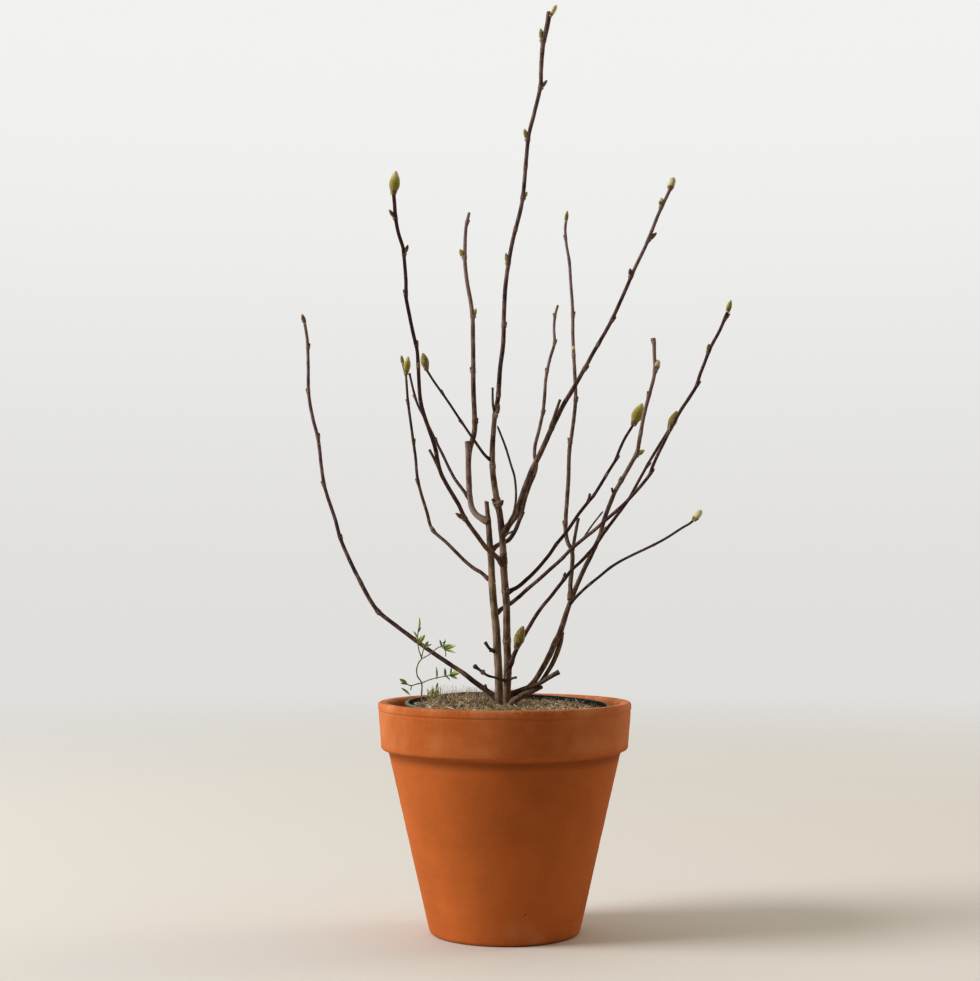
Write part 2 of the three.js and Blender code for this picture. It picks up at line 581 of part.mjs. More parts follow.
function growerPot() {
  const { rimRadius: rim, footRadius: foot, height, wall, lip } = grower;
  const profile = [
    [0, 0], [foot - 3, 0], [foot, 3], [rim - lip, height - 5], [rim, height - 4.5],
    [rim, height], [rim - lip - wall + 0.6, height], [rim - lip - wall, height - 5],
    [foot - wall, wall + 3], [foot - wall - 3, wall], [0, wall],
  ];
  return turned(profile, grower.sides);
}

const innerFootAt = (height) =>
  grower.footRadius - grower.wall - ground.clearance
  + ((grower.rimRadius - grower.lip - grower.footRadius) * height) / grower.height;
const soilTop = grower.height - ground.soilBelowRim;

function soilPlug() {
  const floor = grower.wall + seat;
  const profile = [
    [0, floor], [innerFootAt(0) - 4, floor], [innerFootAt(4), floor + 4],
    [innerFootAt(soilTop), soilTop], [0, soilTop],
  ];
  return turned(profile, grower.sides);
}

// The mat lies on the soil and is heaped towards the back left.
function grassMat() {
  const bottom = soilTop + seat;
  const top = bottom + ground.matThickness;
  const radius = innerFootAt(soilTop) - 0.4;
  const profile = [[0, bottom], [radius, bottom], [radius, top - 3]];
  for (let i = 1; i <= ground.rings; i++) {
    profile.push([radius * (1 - i / ground.rings) - (i < ground.rings ? 2 : 0), top]);
  }
  const mat = turned(profile, grower.sides);
  const corners = mat.getAttribute("position");
  for (let i = 0; i < corners.count; i++) {
    if (corners.getZ(i) < top - 0.01) continue;
    const x = corners.getX(i) / radius;
    const y = corners.getY(i) / radius;
    const heap = Math.max(0, 1 - 1.5 * Math.hypot(x + 0.45, y - 0.3));
    const edge = 3 * Math.max(0, -x - 0.35);
    corners.setZ(i, top + ground.mound * heap + edge + 0.8 * Math.sin(5 * x) * Math.cos(4 * y));
  }
  return mat;
}

// ---- building -----------------------------------------------------------------------
const magnolia = new THREE.Group();
const solids = {};
const cutters = {};

function add(name, solid, material) {
  solids[name] = solid;
  const mesh = new THREE.Mesh(toGeometry(solid), material);
  mesh.name = name;
  magnolia.add(mesh);
}

// The grower's pot leans in the clay pot, on the ring where the two walls meet.
const innerWallSlope = (clay.neckRadius - clay.footRadius - 1.5) / (clay.neckHeight - 2 - clay.floor);
const tiltDrop = grower.footRadius * Math.hypot(grower.lean, grower.tip);
const footGap = seat + innerWallSlope * tiltDrop + 0.3;
const growerFloor = clay.floor
  + (grower.footRadius + footGap - (clay.footRadius - clay.wall + 1.5)) / innerWallSlope;
const growerFrame = new THREE.Matrix4()
  .makeTranslation(0, 0, growerFloor)
  .multiply(new THREE.Matrix4().makeRotationFromEuler(new THREE.Euler(grower.lean, grower.tip, 0)));

function buildHolder(stemCutters) {
  add("clay_pot", toSolid(clayPot()), finishes.terracotta);
  add("grower_pot", toSolid(growerPot().applyMatrix4(growerFrame)), finishes.plastic);
  let soil = toSolid(soilPlug().applyMatrix4(growerFrame));
  let mat = toSolid(grassMat().applyMatrix4(growerFrame));
  for (const cutter of stemCutters) {
    soil = soil.subtract(cutter);
    mat = mat.subtract(cutter);
  }
  add("potting_soil", soil, finishes.soil);
  add("dry_grass_mat", mat, finishes.grass);
}

function buildShoots() {
  for (const [name, shoot] of Object.entries(shoots)) {
    const limbs = [shoot, ...(shoot.stubs ?? [])].map((limb) => ({
      curve: curveOf(limb.route),
      radii: limb.radii,
    }));
    let solid = limbs
      .map((limb) => toSolid(stemGeometry(limb.curve, limb.radii)))
      .reduce((whole, limb) => whole.add(limb));
    for (const carrier of shoot.on ?? []) solid = solid.subtract(cutters[carrier]);
    cutters[name] = limbs
      .map((limb) => toSolid(stemGeometry(limb.curve, limb.radii, seat)))
      .reduce((whole, limb) => whole.add(limb));
    shoot.curve = limbs[0].curve;
    add(name, solid, finishes.bark);
  }
}

function budMaterial(name) {
  return /flower|opening/.test(name) ? finishes.flowerBud : finishes.leafBud;
}

function buildEndBuds() {
  for (const [name, bud] of Object.entries(endBuds)) {
    const foot = place(bud.foot);
    const direction = place(bud.tip).sub(foot);
    const shape = pointed(budGeometry(direction.length(), bud.radius), foot, direction);
    add(name, toSolid(shape).subtract(cutters[bud.on]), budMaterial(name));
  }
}

function alongToRow(curve, row) {
  const samples = 600;
  let best = 0;
  for (let i = 1; i <= samples; i++) {
    const miss = Math.abs(rowOf(curve.getPointAt(i / samples)) - row);
    if (miss < Math.abs(rowOf(curve.getPointAt(best)) - row)) best = i / samples;
  }
  return best;
}

function buildSideBuds() {
  for (const [name, bud] of Object.entries(sideBuds)) {
    const { curve, radii } = shoots[bud.on];
    const along = alongToRow(curve, bud.row);
    const tangent = curve.getTangentAt(along);
    const turn = THREE.MathUtils.degToRad(bud.turn);
    const out = new THREE.Vector3(Math.cos(turn), Math.sin(turn), 0);
    out.addScaledVector(tangent, -out.dot(tangent)).normalize();
    const foot = curve.getPointAt(along)
      .addScaledVector(out, radiusAt(radii, along) - 0.2 * bud.radius);
    const direction = tangent.clone().addScaledVector(out, bud.lean);
    const shape = pointed(budGeometry(bud.length, bud.radius), foot, direction);
    add(name, toSolid(shape).subtract(cutters[bud.on]), budMaterial(name));
  }
}

function buildSeedling() {
  const stems = seedlingStems.map((route) => toSolid(
    stemGeometry(curveOf(route), [seedlingStemRadius * 1.3, seedlingStemRadius], 0, 5, 6)));
  const leaves = seedlingLeaves.map((leaf) => toSolid(leafGeometry(leaf)));
  const plant = [...stems, ...leaves].reduce((whole, piece) => whole.add(piece));
  add("seedling", plant, finishes.seedling);
  return toSolid(stemGeometry(curveOf(seedlingStems[0]), [1.5, 1.2], seat));
}

buildShoots();
buildEndBuds();
buildSideBuds();
const seedlingSocket = buildSeedling();
const planted = [
  "leader_stem", "pruned_stem", "right_stem", "sweeping_stem",
];
buildHolder([...planted.map((name) => cutters[name]), seedlingSocket]);

export default magnolia;
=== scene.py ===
import math

import bpy
import numpy as np
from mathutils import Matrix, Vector, noise


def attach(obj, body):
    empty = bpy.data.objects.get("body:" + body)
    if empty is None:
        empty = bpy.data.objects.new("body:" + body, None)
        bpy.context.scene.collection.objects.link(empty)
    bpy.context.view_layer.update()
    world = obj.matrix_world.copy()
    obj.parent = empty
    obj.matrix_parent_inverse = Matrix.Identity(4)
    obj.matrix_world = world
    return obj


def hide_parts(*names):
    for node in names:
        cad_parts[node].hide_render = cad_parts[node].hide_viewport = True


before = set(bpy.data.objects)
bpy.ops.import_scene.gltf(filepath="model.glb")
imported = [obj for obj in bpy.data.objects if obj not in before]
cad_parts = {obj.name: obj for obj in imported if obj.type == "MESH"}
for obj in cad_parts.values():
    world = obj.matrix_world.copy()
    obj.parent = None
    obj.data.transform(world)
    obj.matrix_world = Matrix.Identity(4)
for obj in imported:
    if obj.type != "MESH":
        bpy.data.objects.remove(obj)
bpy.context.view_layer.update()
mm = 0.001
print("frame loaded")

# The viewer's eye, in mm and pixels. A route's point is (across, down, back):
# where it shows in a front view of 980 x 981, and the mm it lies behind the pot's axis.
eye = {
    "side": -16.2, "distance": 1950, "height": 391.4, "tilt": math.radians(2.8),
    "focal": 1750, "middle": (490, 490.5), "size": (980, 981), "sensor": 36, "farthest": 200,
}


def place(across, down, back):
    x = (across - eye["middle"][0]) / eye["focal"]
    y = (eye["middle"][1] - down) / eye["focal"]
    forward = math.cos(eye["tilt"]) - y * math.sin(eye["tilt"])
    up = math.sin(eye["tilt"]) + y * math.cos(eye["tilt"])
    reach = (back + eye["distance"]) / forward
    return np.array([eye["side"] + reach * x, back, eye["height"] + reach * up]) * mm


def rowOf(points):
    y = points[:, 1] / mm + eye["distance"]
    z = points[:, 2] / mm - eye["height"]
    forward = y * math.cos(eye["tilt"]) + z * math.sin(eye["tilt"])
    up = z * math.cos(eye["tilt"]) - y * math.sin(eye["tilt"])
    return eye["middle"][1] - eye["focal"] * up / forward


def unit(vector):
    return vector / np.maximum(np.linalg.norm(vector, axis=-1, keepdims=True), 1e-9)


def circle(count):
    return np.linspace(0, 2 * math.pi, count, endpoint=False)


def spokes(across, over, angles):  # the directions round a path, or round each of its points
    return (across[..., None, :] * np.cos(angles)[:, None]
            + over[..., None, :] * np.sin(angles)[:, None])


def bell(x, width):
    return np.exp(-((x / width) ** 2))


def smooth(x, low, high):
    t = np.clip((x - low) / (high - low), 0, 1)
    return t * t * (3 - 2 * t)


# ---- node trees: a socket that adds and multiplies, and a maker of nodes
class Value:
    def __init__(self, nodes, socket):
        self.nodes, self.socket = nodes, socket

    def join(self, operation, first, second):
        return self.nodes.make("ShaderNodeMath", {"operation": operation}, {0: first, 1: second})

    def __add__(self, other): return self.join("ADD", self, other)
    def __sub__(self, other): return self.join("SUBTRACT", self, other)
    def __mul__(self, other): return self.join("MULTIPLY", self, other)
    def __pow__(self, other): return self.join("POWER", self, other)
    def __radd__(self, other): return self.join("ADD", other, self)
    def __rsub__(self, other): return self.join("SUBTRACT", other, self)
    def __rmul__(self, other): return self.join("MULTIPLY", other, self)


def shade(code):
    parts = [int(code[i:i + 2], 16) / 255 for i in (1, 3, 5)]
    return (*[p / 12.92 if p < 0.04045 else ((p + 0.055) / 1.055) ** 2.4 for p in parts], 1)


class Nodes:
    def __init__(self, holder):
        self.holder, self.tree = holder, holder.node_tree
        self.tree.nodes.clear()

    def make(self, kind, settings=None, inputs=None, output=0):
        node = self.tree.nodes.new(kind)
        for name, setting in (settings or {}).items():
            if name == "stops":
                while len(node.color_ramp.elements) < len(setting):
                    node.color_ramp.elements.new(0.5)
                for element, (position, colour) in zip(node.color_ramp.elements, setting):
                    element.position, element.color = position, colour
            else:
                setattr(node, name, setting)
        for key, value in (inputs or {}).items():
            if isinstance(value, Value):
                self.tree.links.new(value.socket, node.inputs[key])
            else:
                node.inputs[key].default_value = value
        return Value(self, node.outputs[output]) if node.outputs else None

    def spot(self, stretch=(1, 1, 1)):  # where on the object, in metres
        where = self.make("ShaderNodeTexCoord", output="Object")
        if stretch == (1, 1, 1):
            return where
        return self.make("ShaderNodeVectorMath", {"operation": "MULTIPLY"}, {0: where, 1: stretch})

    def cloud(self, scale, detail=3, stretch=(1, 1, 1), roughness=0.5):
        return self.make("ShaderNodeTexNoise", inputs={
            "Vector": self.spot(stretch), "Scale": scale, "Detail": detail,
            "Roughness": roughness})

    def cells(self, scale, stretch=(1, 1, 1), output="Distance"):
        return self.make("ShaderNodeTexVoronoi", inputs={
            "Vector": self.spot(stretch), "Scale": scale}, output=output)

    def between(self, value, low, high):  # 0 at low, 1 at high
        return self.make("ShaderNodeMapRange", {"interpolation_type": "SMOOTHSTEP"}, {
            "Value": value, "From Min": low, "From Max": high, "To Min": 0, "To Max": 1})

    def ramp(self, value, stops):
        return self.make("ShaderNodeValToRGB", {"stops": stops}, {"Fac": value})

    def mix(self, factor, first, second):
        return self.make("ShaderNodeMix", {"data_type": "RGBA"}, {0: factor, 6: first, 7: second},
                         output=2)

    def mark(self, name):
        return self.make("ShaderNodeAttribute", {"attribute_name": name}, output="Fac")

    def part(self, vector, axis):
        return self.make("ShaderNodeSeparateXYZ", inputs={"Vector": vector}, output=axis)

    # from one colour to another as a field rises from low to high
    def blend(self, field, low, high, first, second, share=1):
        field = self.between(field, low, high)
        return self.mix(field if share == 1 else field * share, first, second)

    def paint(self, colour, look, coats):  # marked places, each toward a colour of the look
        for mark, share, name in coats:
            colour = self.mix(self.mark(mark) * share, colour, look[name])
        return colour

    # spots in a few of the cells, chosen by one channel of the cells' colours
    def specks(self, scale, low, high, channel, rare, stretch=(1, 1, 1)):
        spots = 1 - self.between(self.cells(scale, stretch), low, high)
        chosen = self.part(self.cells(scale, stretch, "Color"), channel)
        return spots * self.between(chosen, *rare)

    def surface(self, colour, roughness, relief, depth, specular=0.5, more=None):
        bump = self.make("ShaderNodeBump", inputs={
            "Height": relief, "Distance": depth * mm, "Strength": 1})
        skin = self.make("ShaderNodeBsdfPrincipled", inputs={
            "Base Color": colour, "Roughness": roughness, "Normal": bump,
            "Specular IOR Level": specular, **(more or {})})
        self.make("ShaderNodeOutputMaterial", inputs={"Surface": skin})
        return self.holder


def newFinish(name, look):  # its nodes, and the colours of its look
    finish = bpy.data.materials.new(name)
    finish.use_nodes = True
    return Nodes(finish), {key: shade(value) for key, value in look.items()
                           if isinstance(value, str)}


def addObject(name, data):
    made = bpy.data.objects.new(name, data)
    bpy.context.scene.collection.objects.link(made)
    return made


# ---- camera and studio
studio = {
    "front": "#94825f", "top": "#f5f5f5", "low": "#dcdbd9", "lift": (-0.12, 0.3),
    "frontEdge": (-0.95, 0.5), "paperTop": "#f4f4f3", "paperLow": "#e6e5e3",
    "paperLift": (-0.05, 0.3),
    "floor": "#d0ccc4", "floorFade": (0.7, 4.2), "floorRadius": 7, "floorSides": 96,
    "key": {"at": (-6.75, -1.375, 3.62), "size": (3.25, 5.0), "power": 725,
            "colour": (.97, 1, 1.08)},
    "rim": {"at": (5.06, 1.98, 2.36), "size": (2.2, 4.0), "power": 77, "colour": (1, .88, .66)},
    "aim": (0, 0, 0.42), "gamma": 0.8, "exposure": 0.0,
}


def addCamera():
    data = bpy.data.cameras.new("camera")
    data.sensor_width = eye["sensor"]
    data.lens = eye["sensor"] * eye["focal"] / max(eye["size"])
    data.clip_end = eye["farthest"]
    camera = addObject("camera", data)
    camera.location = Vector((eye["side"], -eye["distance"], eye["height"])) * mm
    camera.rotation_euler = (math.pi / 2 + eye["tilt"], 0, 0)
    bpy.context.scene.camera = camera


def addLamp(name, lamp):
    data = bpy.data.lights.new(name, "AREA")
    data.shape = "RECTANGLE"
    data.size, data.size_y = lamp["size"]
    data.energy, data.color = lamp["power"], lamp["colour"]
    holder = addObject(name, data)
    holder.location = lamp["at"]
    aim = Vector(studio["aim"]) - holder.location
    holder.rotation_euler = aim.to_track_quat("-Z", "Y").to_euler()
    holder.visible_camera = False


def addSurroundings():
    world = bpy.data.worlds.new("surroundings")
    bpy.context.scene.world = world
    world.use_nodes = True
    n = Nodes(world)
    way = n.make("ShaderNodeTexCoord", output="Generated")
    up, back = n.part(way, "Z"), n.part(way, "Y")
    sky = n.blend(up, *studio["lift"], shade(studio["low"]), shade(studio["top"]))
    light = n.blend(back, *studio["frontEdge"], shade(studio["front"]), sky)
    # the eye itself sees paper that is even all round
    paper = n.blend(up, *studio["paperLift"], shade(studio["paperLow"]),
                    shade(studio["paperTop"]))
    seen = n.make("ShaderNodeLightPath", output="Is Camera Ray")
    glow = n.make("ShaderNodeBackground", inputs={
        "Color": n.mix(seen, light, paper), "Strength": 1})
    n.make("ShaderNodeOutputWorld", inputs={"Surface": glow})


def addFloor():
    n, look = newFinish("floorPaper", studio)
    reach = n.make("ShaderNodeVectorMath", {"operation": "LENGTH"}, {0: n.spot()}, "Value")
    skin = n.make("ShaderNodeBsdfPrincipled", inputs={
        "Base Color": look["floor"], "Roughness": 0.9, "Specular IOR Level": 0.1})
    clear = n.make("ShaderNodeBsdfTransparent")
    both = n.make("ShaderNodeMixShader", inputs={
        0: n.between(reach, *studio["floorFade"]), 1: skin, 2: clear})
    n.make("ShaderNodeOutputMaterial", inputs={"Surface": both})
    edge = [(math.cos(turn) * studio["floorRadius"], math.sin(turn) * studio["floorRadius"], 0)
            for turn in circle(studio["floorSides"])]
    mesh = bpy.data.meshes.new("floor")
    mesh.from_pydata(edge, [], [list(range(len(edge)))])
    mesh.materials.append(n.holder)
    addObject("floor", mesh)


addCamera()
addSurroundings()
addFloor()
addLamp("keyLight", studio["key"])
addLamp("rimLight", studio["rim"])
viewing = bpy.context.scene.view_settings
viewing.view_transform = "Standard"
viewing.gamma, viewing.exposure = studio["gamma"], studio["exposure"]
print("camera and studio made")


# ---- meshes: every shape is laid as loops of points or as ribbons
class Pile:
    def __init__(self):
        self.corners, self.faces, self.marks, self.count = [], [], [], 0

    def add(self, corners, faces, marks):
        self.faces += [[corner + self.count for corner in face] for face in faces]
        self.corners.append(corners)
        self.marks.append((len(corners), marks))
        self.count += len(corners)

    # loops is (rows, sides, 3); a mark is one number, one per row, or one per point
    def loft(self, loops, closed=True, ring=False, **marks):
        rows, sides = loops.shape[:2]
        row, side = np.arange(rows if ring else rows - 1)[:, None], np.arange(sides)[None, :]
        after, beside = (row + 1) % rows, (side + 1) % sides
        faces = np.stack([row * sides + side, row * sides + beside, after * sides + beside,
                          after * sides + side], -1).reshape(-1, 4).tolist()
        corners, flat = [loops.reshape(-1, 3)], {}
        for name, value in marks.items():
            value = np.asarray(value, float)
            if value.ndim == 1:
                value = value[:, None]
            flat[name] = [np.broadcast_to(value, (rows, sides)).reshape(-1)]
        for end in ((0, rows - 1) if closed and not ring else ()):
            corners.append(loops[end].mean(0)[None])
            for name in flat:
                flat[name].append(flat[name][0][end * sides][None])
            middle = rows * sides + (end > 0)
            for s in range(sides):
                pair = [end * sides + s, end * sides + (s + 1) % sides]
                faces.append([*(pair if end else pair[::-1]), middle])
        self.add(np.concatenate(corners), faces,
                 {name: np.concatenate(values) for name, values in flat.items()})

    # points is (ribbons, steps, 3), halfWidth (ribbons, steps), sideways (ribbons, 3)
    def ribbons(self, points, halfWidth, sideways, **marks):
        count, steps = points.shape[:2]
        shift = sideways[:, None, :] * halfWidth[..., None]
        corners = np.stack([points - shift, points + shift], 2)
        first = (np.arange(count)[:, None] * steps + np.arange(steps - 1)[None]) * 2
        faces = np.stack([first, first + 1, first + 3, first + 2], -1).reshape(-1, 4)
        self.add(corners.reshape(-1, 3), faces.tolist(), {
            name: np.repeat(np.broadcast_to(value, (count, steps)).reshape(-1), 2)
            for name, value in marks.items()})

    def piece(self, name, finish, slot, nodes):
        mesh = bpy.data.meshes.new(name)
        mesh.from_pydata(np.concatenate(self.corners).tolist(), [], self.faces)
        for mark in sorted({key for _, marks in self.marks for key in marks}):
            values = np.concatenate([marks.get(mark, np.zeros(size))
                                     for size, marks in self.marks])
            layer = mesh.attributes.new(mark, "FLOAT", "POINT")
            layer.data.foreach_set("value", values.astype(np.float32))
        mesh.shade_smooth()
        mesh.materials.append(finish)
        made = addObject(name, mesh)
        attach(made, "root")
        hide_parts(*nodes)
        print(f"{name}: {len(mesh.polygons)} faces")


class Path:  # a smooth line through a route's points, measured by the run along it
    def __init__(self, route):
        knots = np.array([place(*point) for point in route])
        ends = np.vstack([2 * knots[0] - knots[1], knots, 2 * knots[-1] - knots[-2]])
        t = np.linspace(0, 1, 14, endpoint=False)[:, None]
        pieces = []
        for a, b, c, d in zip(ends, ends[1:], ends[2:], ends[3:]):
            ab, bc, cd = (max(np.linalg.norm(q - p), 1e-7) ** 0.5
                          for p, q in ((a, b), (b, c), (c, d)))
            leave = ((b - a) / ab - (c - a) / (ab + bc) + (c - b) / bc) * bc
            reach = ((c - b) / bc - (d - b) / (bc + cd) + (d - c) / cd) * bc
            pieces.append(b + leave * t + (3 * (c - b) - 2 * leave - reach) * t ** 2
                          + (2 * (b - c) + leave + reach) * t ** 3)
        self.points = np.vstack([*pieces, knots[-1:]])
        gaps = np.linalg.norm(np.diff(self.points, axis=0), axis=1)
        self.runs = np.concatenate([[0], np.cumsum(gaps)])
        self.length = self.runs[-1]

    def at(self, run):
        return np.stack([np.interp(run, self.runs, self.points[:, i]) for i in range(3)], -1)

    def heading(self, run):
        return unit(self.at(run + 0.7 * mm) - self.at(run - 0.7 * mm))

    def runAtRow(self, row):
        return self.runs[np.argmin(np.abs(rowOf(self.points) - row))]


def sideFrames(headings):  # two directions across the path, without twist
    across = unit(np.cross(headings[0], [0.3, 1, 0.2]))
    made = []
    for heading in headings:
        across = unit(across - heading * np.dot(across, heading))
        made.append(across)
    across = np.array(made)
    return across, np.cross(headings, across)


